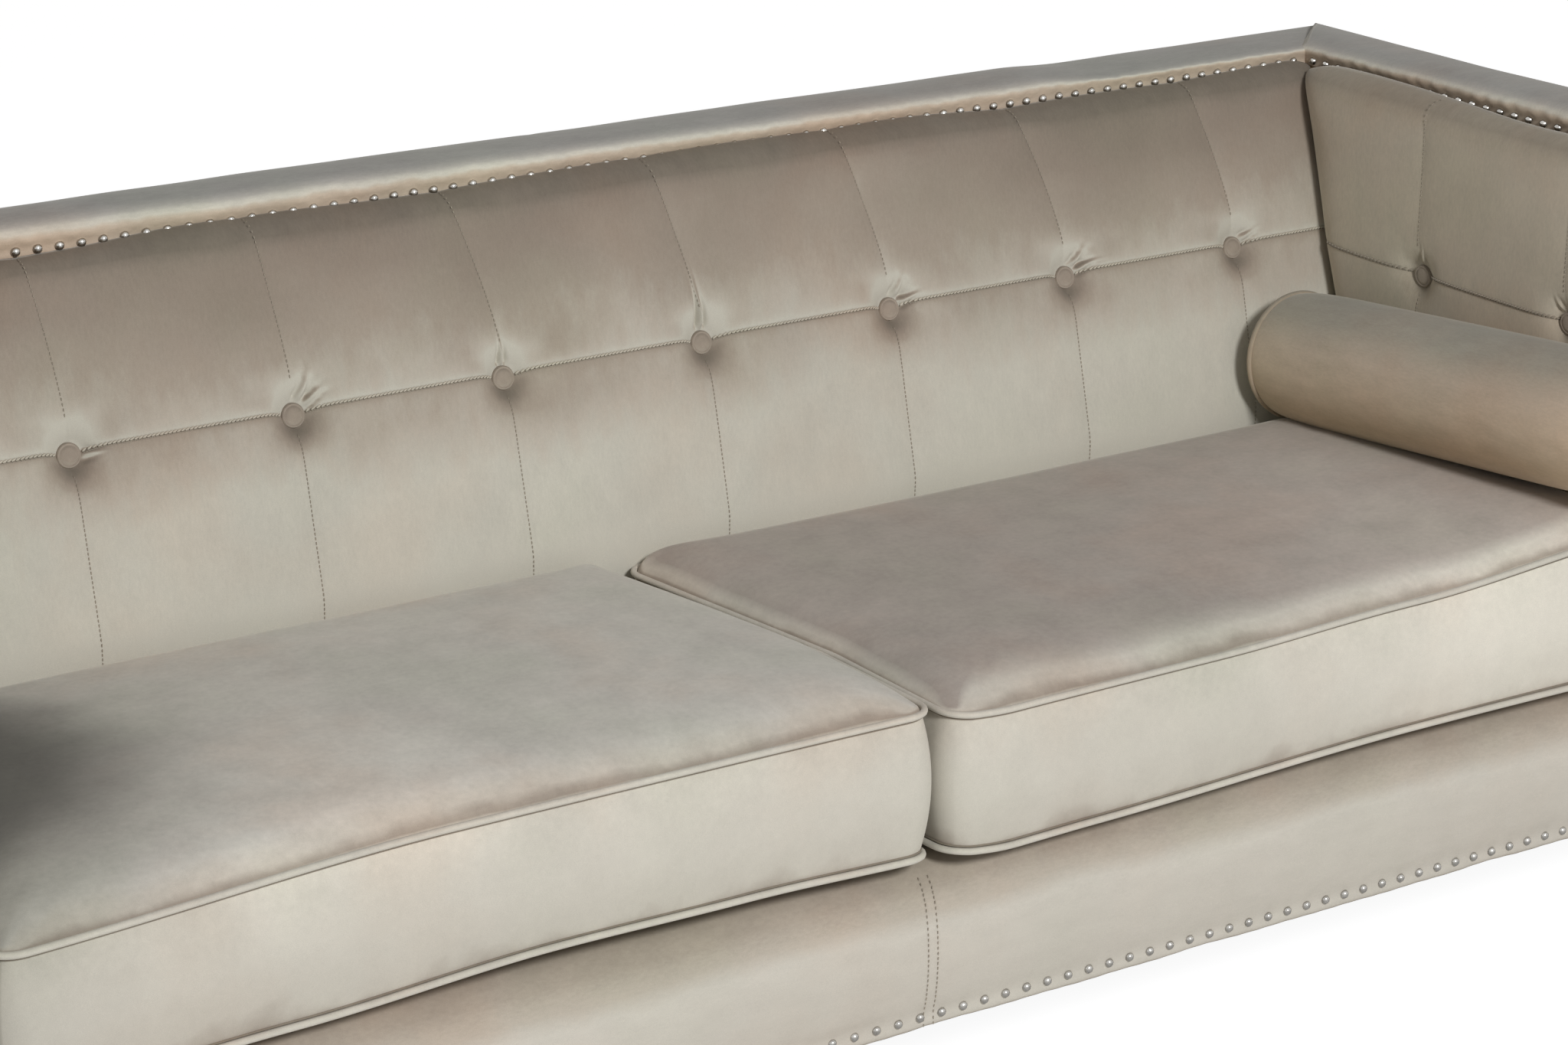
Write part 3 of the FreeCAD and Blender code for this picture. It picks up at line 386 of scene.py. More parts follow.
for side, outwards in SIDES.items():
    low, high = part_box(f"seat_cushion_cover_{side}")
    middle = (low + high) / 2
    half_x, half_y = (high.x - low.x) / 2, (high.y - low.y) / 2
    arm_side = max(abs(low.x), abs(high.x))
    seam_low, seam_high = low.z + FOOT_SEAM, low.z + TOP_SEAM
    crown = high.z - seam_high - CROWN_SPARE
    seed = Vector((DENT_SEEDS[side], 0, 0))

    def cushion_point(a, b, c, proud=0.0):
        """A point of the cover, where a, b and c run from -1 to 1 over its width, depth and height."""
        inset = BORDER_BULGE * c * c - proud
        wide, deep, radius = half_x - inset, half_y - inset, CORNER - inset
        x, y = rounded(crowded(a) * wide, crowded(b) * deep, wide, deep, radius)
        inside = from_edge(x, y, wide, deep, radius)
        swell = climb(deep - y, REAR_RISE) * climb(deep + y, FRONT_RISE) * climb(wide - abs(x), SIDE_RISE)
        x -= (DRAW if a * outwards > 0 else -INNER_BULGE) * a * (1 - b * b)
        y -= DRAW * b * (1 - a * a)
        z = seam_low + (seam_high - seam_low) * (c + 1) / 2
        ahead = 0.5 - y / half_y / 2
        if c > FLUSH:
            z += crown * min(swell, climb(inside, CORNER_RISE))
            z += ruffle(DENT, Vector((x * DENT_SCALE, y * DENT_SCALE, 0)) + seed)
        if c < -FLUSH:
            z -= FOOT_CROWN * climb(inside, FOOT_RISE)
        near_gap = 1 - abs(middle.x + x) / arm_side
        x += (GAP_BEHIND + (GAP_AHEAD - GAP_BEHIND) * min(1.0, GAP_TURN * ahead)) * near_gap
        curl = math.exp(-(half_y + y) / OVERHANG)
        z += eased(TOP_EDGES[side], middle.x + x) * ahead * (1 + c) / 2
        z += eased(FOOT_EDGES[side], middle.x + x) * curl * (1 - c) / 2
        return Vector((middle.x + x, middle.y + y, z))

    shape = lattice(CUSHION_CUTS)
    held = []
    for vert in shape.verts:
        a, b, c = vert.co
        vert.co = cushion_point(a, b, c)
        if c < -FLUSH or c > FLUSH and max(abs(a), abs(b)) > FLUSH:
            held.append(vert)
    swollen(shape, held, CUSHION_PRESSURE, CUSHION_CAP)
    smoothed(shape)
    tone_and_shade = SEAT_TONE_AND_SHADE + TOP_TONES_AND_SHADES[side]
    look = velvet(f"seat_velvet_{side}", tone_and_shade, shadows_and_pale_spots=PAINTED_SHADOWS_AND_PALE_SPOTS[side], aside=SEAT_ASIDE, calm=CALM)
    nodes = (f"seat_cushion_cover_{side}", f"seat_cushion_core_{side}")
    cover = piece(f"seat_cushion_{side}_cover", shape, look, f"seat_cushion_{side}", "velvet", *nodes)
    for name, look, line, proud, radius in (
        ("piping", cord_look, CORD_LINE, CORD_PROUD, CORD),
        ("seams", seam_look, SEAM_LINE, SEAM_PROUD, SEAM_THREAD),
    ):
        cords = bmesh.new()
        for level in (-line, line):
            corded(cords, [cushion_point(a, b, level, proud) for a, b in rim], radius)
        piece(f"seat_cushion_{side}_{name}", cords, look, f"seat_cushion_{side}", "velvet")


# Bolster. A foam roll in a sewn velvet tube, with a flat disc let into each end along a corded seam.
# It lies loose on the right cushion, against the arm, with its front end tipped up a little.
def lathe(profile, steps):
    """A shape turned about the Z axis from a profile of radii and heights."""
    bm = bmesh.new()
    spots = [bm.verts.new((out, 0, height)) for out, height in profile]
    edges = [bm.edges.new(pair) for pair in zip(spots, spots[1:])]
    bmesh.ops.spin(
        bm, geom=spots + edges, cent=(0, 0, 0), axis=(0, 0, 1), angle=2 * math.pi, steps=steps, use_merge=True
    )
    bmesh.ops.remove_doubles(bm, verts=bm.verts, dist=1e-6)
    return bm


# Colours by tilt: the velvet's tone with painted shade. It is browner where faces look ahead or down, and
# greyer and darker where they look up.
BOLSTER_TONE_AND_SHADE = [
    (-37, (0.5, 0.39, 0.265)),
    (0, (0.56, 0.455, 0.34)),
    (24, (0.53, 0.44, 0.345)),
    (53, (0.37, 0.34, 0.28)),
    (90, (0.31, 0.295, 0.255)),
]
# The bolster's piping is painted darker than the seat cushions' piping as shade, and darker still where it
# looks up.
BOLSTER_CORD_TONE_AND_SHADE = [(-37, (0.36, 0.28, 0.19)), (0, (0.4, 0.32, 0.235)), (60, (0.27, 0.24, 0.19))]
NECK, DISC_RISE, SHOULDER, STRAIGHT = 0.006, 0.005, 0.02, 0.08
BOLSTER_STEPS, BOLSTER_PRESSURE, BOLSTER_CAP = 72, 2.0, 0.002
SETTLE, YAW, PITCH = Vector((0.013, -0.011, 0.011)), math.radians(0.8), math.radians(4.8)
END_FACING, RING_OUT, RING_IN, RING_STEPS = 0.9, 0.001, 0.002, 48
low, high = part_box("bolster_cover_right")
middle, radius, half_long = (low + high) / 2, (high.x - low.x) / 2, (high.y - low.y) / 2
neck, seam = radius - NECK, half_long - DISC_RISE
half_profile = [(neck * t, half_long - DISC_RISE * t * t) for t in (0, 0.25, 0.5, 0.7, 0.85, 0.95, 1)]
half_profile += [(neck + NECK * climb(d, SHOULDER), seam - d) for d in (0.004, 0.01, 0.02, 0.035, 0.055)]
half_profile += [(radius, (seam - STRAIGHT) * t) for t in (1, 0.75, 0.5, 0.25)]
shape = lathe(half_profile + [(out, -along) for out, along in reversed(half_profile)], BOLSTER_STEPS)
settled = Matrix.Translation(middle + SETTLE) @ Matrix.Rotation(YAW, 4, "Z") @ Matrix.Rotation(-PITCH, 4, "X")
lying = settled @ Matrix.Rotation(-math.pi / 2, 4, "X")
bmesh.ops.transform(shape, matrix=lying, verts=shape.verts)
held = [vert for vert in shape.verts if abs(abs((settled.inverted() @ vert.co).y) - seam) < 1e-5]
swollen(shape, held, BOLSTER_PRESSURE, BOLSTER_CAP)
smoothed(shape)
roll = piece(
    "bolster_right_cover", shape, velvet("bolster_velvet", BOLSTER_TONE_AND_SHADE, (3, 1, 3)),
    "bolster_right", "velvet", "bolster_cover_right", "bolster_core_right",
)
roll.data.materials.append(velvet("bolster_end_velvet", PALE_TONE_AND_SHADE, calm=CALM))
for panel in roll.data.polygons:
    panel.material_index = int(abs(panel.normal.y) > END_FACING)
cords = bmesh.new()
turns = [2 * math.pi * step / RING_STEPS for step in range(RING_STEPS)]
out = neck + RING_OUT
for along in (RING_IN - seam, seam - RING_IN):
    corded(cords, [settled @ Vector((out * math.cos(t), along, out * math.sin(t))) for t in turns], CORD)
look = velvet("bolster_piping_velvet", BOLSTER_CORD_TONE_AND_SHADE)
piece("bolster_right_piping", cords, look, "bolster_right", "velvet")


# Inside back and arms. One padded cover each, two pillows tall, pulled in along upright seams and a
# level seam, and drawn down hard into pleats at a covered button where they cross.
# Colours by tilt: the velvet's tone with painted shade. Faces that turn down, as above each button, are
# painted pale. Faces that turn up, as below each button and over the brow, are painted browner and darker.
PAD_TONE_AND_SHADE = [
    (-11, (0.6, 0.575, 0.5)),
    (7, (0.56, 0.535, 0.46)),
    (15, (0.47, 0.422, 0.355)),
    (22, (0.36, 0.307, 0.25)),
    (33, (0.28, 0.232, 0.187)),
    (53, (0.19, 0.161, 0.128)),
]
# Painted shade by height on the back: paler towards its foot, darker and browner over the upper pillows.
PAD_SHADE_DRIFT, BACK_CALM = [(0.52, 0.62, -10.0, 1.0), (0.64, 0.82, 0.0, 19.0)], 0.2
# The arms' colours by tilt, with the same kind of painted shade, darker and browner than the back's.
ARM_TONE_AND_SHADE = [
    (-11, (0.585, 0.53, 0.43)),
    (0, (0.515, 0.455, 0.365)),
    (12, (0.436, 0.377, 0.297)),
    (37, (0.32, 0.277, 0.218)),
]
up, ahead = Vector((0, 0, 1)), Vector((0, -1, 0))
SEAT_LEVEL, SEAM_LEVEL, ARM_SEAM_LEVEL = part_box("seat_cushion_cover_right")[1].z, 0.636, 0.627
BROW_LEVEL, PAD_FOOT_LEVEL = 0.802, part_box("inside_back_pad")[0].z
NEAR_SEAM = (0.001, 0.0025, 0.004, 0.006, 0.008, 0.0105, 0.013, 0.016, 0.0195, 0.0235, 0.028, 0.034, 0.042)
GAP_ACROSS, GAP_UP = 0.02, 0.016
PILLOW, PAD_DENT, PAD_SEED = 0.008, 0.0018, 40
# Depths of the seams and ends below the pillows, and the widths over which the cover rises from them.
LEVEL_SEAM, LEVEL_WIDE, UPRIGHT_WIDE, SUNK_WIDE, END_DROP, END_WIDE = 0.0014, 0.004, 0.015, 0.05, 0.026, 0.01
DIMPLE, DIMPLE_FLOOR, DIMPLE_WALL, DIMPLE_REACH = 0.014, 0.013, 0.012, 0.12
BUTTON_PULL, PULL_WIDE, PULL_TALL = 0.0065, 0.02, 0.05
BROW_RADIUS, BROW_TUCK, BROW_FADE, WAVE_TALL, FOOT_TALL = 0.014, 0.15, 0.6, 0.06, 0.1
PAD_PRESSURE, PAD_CAP, PAD_SKIRT = 1.5, 0.004, 0.014
CREASE, PLEAT_TAPER = 1.4, 0.5


def grid_lines(start, end, seams, gap):
    """Places of grid lines from start to end, close together about each seam."""
    lines = {start, end}
    for seam in seams:
        lines.update({seam, *(seam - d for d in NEAR_SEAM), *(seam + d for d in NEAR_SEAM)})
    lines = sorted(line for line in lines if start <= line <= end)
    places = []
    for here, there in zip(lines, lines[1:]):
        count = max(1, round((there - here) / gap))
        places += [here + (there - here) * step / count for step in range(count)]
    return places + [end]


def draped(count_u, count_w, place):
    """A grid of so many points each way, each put where place(i, j) says."""
    bm = bmesh.new()
    bmesh.ops.create_grid(bm, x_segments=count_u - 1, y_segments=count_w - 1, size=1)
    for vert in bm.verts:
        i, j = ((along + 1) / 2 * (count - 1) for along, count in zip(vert.co.xy, (count_u, count_w)))
        vert.co = place(round(i), round(j))
    bm.normal_update()
    return bm


def closed(bm):
    """Fill the open ends of a shape."""
    bmesh.ops.holes_fill(bm, edges=[edge for edge in bm.edges if edge.is_boundary], sides=0)


def valley(distance, width):
    """1 at a seam, falling to 0 at some distance from it."""
    return math.exp(-abs(distance) / width)


def hump(distance, width):
    """1 at a line, falling smoothly to 0 on both sides."""
    return math.exp(-((distance / width) ** 2))


def pleat(across, along, angle, length, rise, wide):
    """The rise of one fold of cloth that runs away from a button, with a crease on both sides."""
    outwards = across * math.cos(angle) + along * math.sin(angle)
    aside = along * math.cos(angle) - across * math.sin(angle)
    share = (outwards - DIMPLE_FLOOR) / length
    if not 0 < share < 1.5:
        return 0.0
    wide *= 1 - PLEAT_TAPER * share
    ridge = math.exp(-((aside / wide * 2) ** 2)) - CREASE * math.exp(-(((abs(aside) - wide) / wide * 3) ** 2))
    return rise * min(1.0, share * 5) * math.exp(-(share**3)) * ridge


def depth_at(profile, level):
    """How far back a profile of (depth, level) lies at some level."""
    for (near, low), (far, high) in zip(profile, profile[1:]):
        if level <= high:
            return near + (far - near) * max(0.0, level - low) / (high - low)
    return profile[-1][0]


def buttoned_pad(name, profile, across, out, columns, ends, look, nodes, folds, sunk, wave, shift):
    """A buttoned cover on a profile of (depth, level) at seat, seam and brow.

    columns and ends are places along across, folds are the pleats at each button, sunk is the depth of the
    upright seams below and above the level seam, wave lifts the brow, and shift moves a point along across.
    Returns the cover's face as a function, and how far it reaches below and above the level seam.
    """
    seat, seam, brow = (up * level - out * depth for depth, level in profile)
    lower, upper = (seam - seat).normalized(), (brow - seam).normalized()
    drop, rise = (seam - seat).length, (brow - seam).length
    lean = math.atan2(-upper.dot(out), upper.z)
    top = rise + BROW_RADIUS * (math.pi / 2 - lean + BROW_TUCK)

    def way_out(slope):
        return out * slope.z - up * slope.dot(out)

    def spot(w):
        """A point of the plain profile, w above or below the level seam, and the way out of it there."""
        if w < -drop:
            return seat + up * (w + drop), out
        if w < rise:
            slope = lower if w < 0 else upper
            return seam + slope * w, way_out(slope)
        angle = lean + (w - rise) / BROW_RADIUS
        way = out * math.cos(angle) + up * math.sin(angle)
        return brow + (way - way_out(upper)) * BROW_RADIUS, way

    def swell(place, w):
        """How far the cover stands out from the plain profile."""
        share = min(max(w / SUNK_WIDE + 0.5, 0), 1)
        upright = sunk[0] + (sunk[1] - sunk[0]) * share
        height = PILLOW - LEVEL_SEAM * valley(w, LEVEL_WIDE)
        for column, angles in zip(columns, folds):
            aside = place - column
            height -= upright * valley(aside, UPRIGHT_WIDE)
            far = math.hypot(aside, w)
            if far < DIMPLE_REACH:
                height -= DIMPLE * math.exp(-((max(0.0, far - DIMPLE_FLOOR) / DIMPLE_WALL) ** 1.2))
                height += sum(pleat(aside, w, math.radians(angle), *size) for angle, *size in angles)
        for end in ends:
            height -= END_DROP * valley(place - end, END_WIDE)
        if w < -drop:
            height *= max(0.0, 1 + (w + drop) / FOOT_TALL)
        if w > rise:
            height *= 1 - (w - rise) / (top - rise) * BROW_FADE
        height += eased(wave, place) * min(1.0, max(0.0, (w - rise + WAVE_TALL) / WAVE_TALL))
        return height + ruffle(PAD_DENT, (place * DENT_SCALE, w * DENT_SCALE, profile[0][0] * PAD_SEED))

    def face(place, w):
        """A point of the finished cover and the way out of it."""
        pull = max(hump(place - column, PULL_WIDE) for column in columns)
        base, way = spot(w - BUTTON_PULL * pull * hump(w, PULL_TALL))
        return base + across * (place + shift(place, base.z)) + way * swell(place, w), way

    lines_u = grid_lines(*ends, [*columns, *ends], GAP_ACROSS)
    lines_w = grid_lines(PAD_FOOT_LEVEL - profile[0][1] - drop, top, (0.0,), GAP_UP)
    wide = len(lines_u)
    shape = draped(wide, len(lines_w), lambda i, j: face(lines_u[i], lines_w[j])[0])
    if sum((facet.normal for facet in shape.faces), Vector()).dot(out) < 0:
        bmesh.ops.reverse_faces(shape, faces=shape.faces)
    shape.verts.index_update()
    held_u = {0, wide - 1} | {lines_u.index(column) for column in columns}
    held_w = {0, len(lines_w) - 1, lines_w.index(0.0)}
    held = [vert for vert in shape.verts if vert.index % wide in held_u or vert.index // wide in held_w]
    swollen(shape, held, PAD_PRESSURE, PAD_CAP)
    smoothed(shape)
    rim = [edge for edge in shape.edges if edge.is_boundary]
    made = bmesh.ops.extrude_edge_only(shape, edges=rim)["geom"]
    for vert in [item for item in made if isinstance(item, bmesh.types.BMVert)]:
        vert.co -= out * PAD_SKIRT
    closed(shape)
    piece(name, shape, look, "frame", "velvet", *nodes)
    return face, drop, top


BACK_BUTTONS, BACK_PITCH = 8, 0.2375
back_columns = [BACK_PITCH * (index - (BACK_BUTTONS - 1) / 2) for index in range(BACK_BUTTONS)]
arm_columns = [-0.212, 0.02]
BACK_END, ARM_FRONT, ARM_REAR = 0.988, -0.352, 0.1555
back_ends, arm_ends = (-BACK_END, BACK_END), (ARM_FRONT, ARM_REAR)
back_profile = [(0.1645, SEAT_LEVEL), (0.2085, SEAM_LEVEL), (0.2585, BROW_LEVEL)]
arm_profile = [(0.962, SEAT_LEVEL), (0.943, ARM_SEAM_LEVEL), (0.9475, BROW_LEVEL)]
BACK_SUNK, ARM_SUNK = (0.003, 0.004), (0.0012, 0.0014)
BACK_WAVE = [
    (-0.99, -0.003), (-0.55, -0.003), (-0.42, 0.003), (-0.15, 0.0), (0.1, 0.004),
    (0.45, 0.004), (0.62, -0.003), (0.8, -0.001), (0.99, 0.003),
]
ARM_WAVE = [(-0.36, 0.002), (-0.1, -0.003), (0.1, 0.003), (0.3, 0.0)]
# The pleats at each button, from left to right: angle in degrees, length, rise and width of each fold.
BACK_FOLDS = [
    [(75, 0.016, 0.003, 0.006)],
    [(-12, 0.014, 0.002, 0.007)],
    [(32, 0.022, 0.0026, 0.007), (62, 0.028, 0.004, 0.007)],
    [(90, 0.018, 0.005, 0.005)],
    [(88, 0.034, 0.0065, 0.0055)],
    [(12, 0.016, 0.003, 0.007), (58, 0.02, 0.0045, 0.007)],
    [(14, 0.018, 0.003, 0.007), (46, 0.022, 0.0045, 0.007)],
    [(25, 0.014, 0.003, 0.007)],
]
ARM_FOLDS = [[(60, 0.014, 0.003, 0.006)], [(100, 0.014, 0.003, 0.006)]]
SLANTS = [
    (-0.99, 0.0), (-0.83, 0.012), (-0.36, 0.016), (-0.12, 0.033), (0.6, 0.038), (0.83, 0.034), (0.99, 0.0),
]


def back_shift(place, level):
    """How far the upper pillows of the back lean to one side."""
    share = max(0.0, (level - SEAM_LEVEL) / (BROW_LEVEL - SEAM_LEVEL))
    return -eased(SLANTS, place) * share**1.5


def arm_shift(place, level):
    """How far the rear pillow of an arm is stretched to follow the leaning back."""
    share = max(0.0, (place - arm_columns[-1]) / (ARM_REAR - arm_columns[-1]))
    return share * (depth_at(back_profile, level) - back_profile[0][0])


back_look = velvet("back_velvet", PAD_TONE_AND_SHADE, (2.5, 1, 1), shade_drift=PAD_SHADE_DRIFT, calm=BACK_CALM)
pads = {}
pads["back"] = buttoned_pad(
    "inside_back_cover", back_profile, Vector((1, 0, 0)), ahead, back_columns, back_ends, back_look,
    ("inside_back_pad", "back_foam"), BACK_FOLDS, BACK_SUNK, BACK_WAVE, back_shift,
)
for side, sign in SIDES.items():
    arm_look = velvet(f"arm_velvet_{side}", ARM_TONE_AND_SHADE, (1, 2.5, 1))
    pads[f"arm_{side}"] = buttoned_pad(
        f"inside_arm_{side}_cover", arm_profile, Vector((0, 1, 0)), Vector((-sign, 0, 0)), arm_columns,
        arm_ends, arm_look, (f"inside_arm_pad_{side}", f"arm_foam_{side}"), ARM_FOLDS, ARM_SUNK, ARM_WAVE,
        arm_shift,
    )


# Buttons. A velvet-covered disc with a turned rim, drawn down hard on the crossing of two seams by a
# twine that runs through the padding.
def copied(bm, pattern, places):
    """Add a copy of a shape at each spot, its Z axis along one way and its X axis along another."""
    mesh = mesh_of("pattern", pattern)
    for spot, height, along in places:
        first = len(bm.verts)
        bm.from_mesh(mesh)
        bm.verts.ensure_lookup_table()
        turn = Matrix((along, height.cross(along), height)).transposed().to_4x4()
        bmesh.ops.transform(bm, matrix=Matrix.Translation(spot) @ turn, verts=bm.verts[first:])


# Colours by tilt, painted much darker than the pad's velvet as shade in the button's dimple, and darker still
# where they look up.
BUTTON_TONE_AND_SHADE = [(-17, (0.42, 0.365, 0.3)), (12, (0.335, 0.28, 0.228)), (44, (0.24, 0.2, 0.16))]
BUTTON = [
    (0, 0.0078), (0.006, 0.0077), (0.009, 0.0072), (0.0098, 0.0063), (0.0106, 0.0072),
    (0.0116, 0.0072), (0.0124, 0.006), (0.0127, 0.003), (0.012, 0), (0, -0.002),
]
BUTTON_SEAT, BUTTON_STEPS = -0.0015, 32
button_look = velvet("button_velvet", BUTTON_TONE_AND_SHADE)
crossings = {"back": ("back_buttons", back_columns, back_ends)}
crossings.update({f"arm_{side}": (f"arm_buttons_{side}", arm_columns, arm_ends) for side in SIDES})
for pad, (node, columns, ends) in crossings.items():
    face = pads[pad][0]
    places = []
    for column in columns:
        spot, way = face(column, 0.0)
        places.append((spot + way * BUTTON_SEAT, way, way.orthogonal().normalized()))
    buttons = bmesh.new()
    copied(buttons, lathe(BUTTON, BUTTON_STEPS), places)
    piece(f"{node}_covered", buttons, button_look, "frame", "velvet", node)


# Seam stitches of the back and arms. The level seam is oversewn with a twisted cord, with a row of small dark
# stitches below it as a painted shadow line under the cord; the upright seams are sewn through with small
# stitches of the same dark thread.
# Colours by tilt, each painted a little darker as shade where it looks up. The pale cord uses the first. The
# second is a dark thread for both the small stitches and the painted shadow line below the cord.
THREAD_TONE_AND_SHADE = [(-17, (0.6, 0.56, 0.475)), (17, (0.54, 0.495, 0.41)), (53, (0.42, 0.37, 0.3))]
DARK_THREAD_AND_SHADOW_TONES = [(-17, (0.4, 0.36, 0.295)), (17, (0.32, 0.28, 0.225)), (53, (0.22, 0.185, 0.145))]
thread, dark_thread_and_shadow = velvet("thread", THREAD_TONE_AND_SHADE), velvet("dark_thread_and_shadow", DARK_THREAD_AND_SHADOW_TONES)
ROPE_STEP, ROPE_STITCH, ROPE_TURN = 0.0044, (0.0031, 0.0012, 0.0011), math.radians(24)
UPRIGHT_STEP, UPRIGHT_STITCH = 0.0046, (0.0018, 0.0006, 0.0005)
ROPE_LIFT, UPRIGHT_LIFT, ROPE_CLEAR = 0.0014, 0.0006, 0.014
# The painted shadow row lies below the cord. The upright rows stop short of the buttons and reach below the
# seat.
SHADOW_ROW, UNDER_BUTTON, OVER_BUTTON, BELOW_SEAT = -0.0022, -0.02, 0.034, 0.04


def capsule(half_sizes):
    """A small rounded stitch of these half sizes."""
    bm = bmesh.new()
    bmesh.ops.create_uvsphere(bm, u_segments=8, v_segments=5, radius=1)
    bmesh.ops.scale(bm, vec=half_sizes, verts=bm.verts)
    return bm


def sewn(face, route, lift, turn=0.0):
    """Places for stitches along a route of points on a face, lifted off it and turned by some angle."""
    spots = [face(*point) for point in route]
    places = []
    for (spot, way), (following, _) in zip(spots, spots[1:]):
        along = (following - spot).normalized()
        height = (way - along * way.dot(along)).normalized()
        along = along * math.cos(turn) + height.cross(along) * math.sin(turn)
        places.append(((spot + following) / 2 + height * lift, height, along))
    return places


def steps_between(start, end, gap):
    """Even steps from start to end, about a gap apart."""
    count = int((end - start) / gap)
    return [start + (end - start) * step / count for step in range(count + 1)]


for pad, (node, columns, ends) in crossings.items():
    face, drop, top = pads[pad]
    stops = [ends[0], *columns, ends[1]]
    rope, small = [], []
    for start, end in zip(stops, stops[1:]):
        start, end = start + ROPE_CLEAR, end - ROPE_CLEAR
        cord_row = [(place, 0.0) for place in steps_between(start, end, ROPE_STEP)]
        rope += sewn(face, cord_row, ROPE_LIFT, ROPE_TURN)
        # A painted shadow line under the cord, drawn as a row of small dark stitches.
        shadow_row = [(place, SHADOW_ROW) for place in steps_between(start, end, ROPE_STEP / 2)]
        small += sewn(face, shadow_row, UPRIGHT_LIFT / 2)
    for column in columns:
        for start, end in ((-drop - BELOW_SEAT, UNDER_BUTTON), (OVER_BUTTON, top)):
            upright = [(column, w) for w in steps_between(start, end, UPRIGHT_STEP)]
            small += sewn(face, upright, UPRIGHT_LIFT)
    for name, look, stitch, places in (
        ("rope", thread if pad == "back" else dark_thread_and_shadow, ROPE_STITCH, rope),
        ("upright", dark_thread_and_shadow, UPRIGHT_STITCH, small),
    ):
        stitches = bmesh.new()
        copied(stitches, capsule(stitch), places)
        piece(f"{pad}_{name}_stitches", stitches, look, "frame", "velvet")


# Capping. A velvet sleeve over wadding on the top rails, mitred at the two corners and joined at the
# middle of the back, its inner edge drawn down in small tucks under a row of nails.
# Colours by tilt: the velvet's tone with painted light and shade. The downward face under the roll is painted
# paler to offset the shade of the pad's brow. The band where the roll turns over is painted as a highlight,
# and the top is painted greyer and darker.
ROLL_TONE_LIGHT_AND_SHADE = [
    (-30, (0.58, 0.475, 0.365)),
    (0, (0.57, 0.475, 0.375)),
    (14, (0.57, 0.5, 0.405)),
    (30, (0.62, 0.58, 0.495)),
    (46, (0.59, 0.56, 0.485)),
    (62, (0.45, 0.425, 0.385)),
    (80, (0.355, 0.342, 0.32)),
]
roll_look = velvet("capping_velvet", ROLL_TONE_LIGHT_AND_SHADE, (1, 2.5, 2.5))
# How far the crown sinks along the back and along an arm.
BACK_FALL = [(-0.6, 0.0), (0.6, 0.005), (0.7, 0.011), (1.0, 0.01)]
ARM_FALL = [(-0.35, 0.0), (0.3, 0.006)]
# The sleeve's section as (distance back from the nails, level), from the hem over the crown and back inside.
ROLL_SECTION = [
    (0.003, 0.8085), (0.0008, 0.8085), (0, 0.812), (0, 0.817), (-0.0025, 0.8215), (-0.005, 0.827),
    (-0.0045, 0.8328), (0, 0.8382), (0.009, 0.8424), (0.023, 0.8449), (0.041, 0.8456), (0.064, 0.8436),
    (0.084, 0.839), (0.098, 0.8315), (0.1055, 0.822), (0.107, 0.815), (0.1065, 0.8085), (0.103, 0.8085),
    (0.103, 0.8258), (0.003, 0.8258),
]
ROLL_CENTRE, INNER_FACE, HEM_BACK = (0.05, 0.826), 0.002, 0.0031
NAIL_LINE_X, NAIL_LINE_Y, NAIL_LEVEL, NAIL_PITCH = 0.988, 0.281, 0.816, 0.0225
TUCK_TALL, TUCK_IN, TUCK_OUT, BULGE_LEVEL = 0.006, 0.0014, 0.0018, 0.827
ROLL_RIPPLE, LIP_RIPPLE, LIP_CRUMPLE, DEEPEST = 0.0016, 0.0024, 0.0014, -0.0016
JOIN_DEPTH, JOIN_WIDE, FALL_TALL, MITRE_STRETCH = 0.0016, 0.0035, 0.018, 0.03


def evenly(low, high, pitch):
    """Places at an even pitch, centred between two ends."""
    count = int((high - low) / pitch)
    return [(low + high) / 2 + (index - (count - 1) / 2) * pitch for index in range(count)]


def tuck(along, nails, pitch):
    """1 at a nail, 0 halfway between two."""
    return 0.5 + 0.5 * math.cos(2 * math.pi * (along - nails[0]) / pitch)


def sleeve(name, node, look, steps, section, spot):
    """A padded length of a closed section, whose points spot(step, index) places at each step."""
    shape = draped(len(steps), len(section) + 1, lambda i, j: spot(steps[i], j % len(section)))
    bmesh.ops.remove_doubles(shape, verts=shape.verts, dist=1e-5)
    smoothed(shape)
    closed(shape)
    piece(name, shape, look, "frame", "velvet", node)


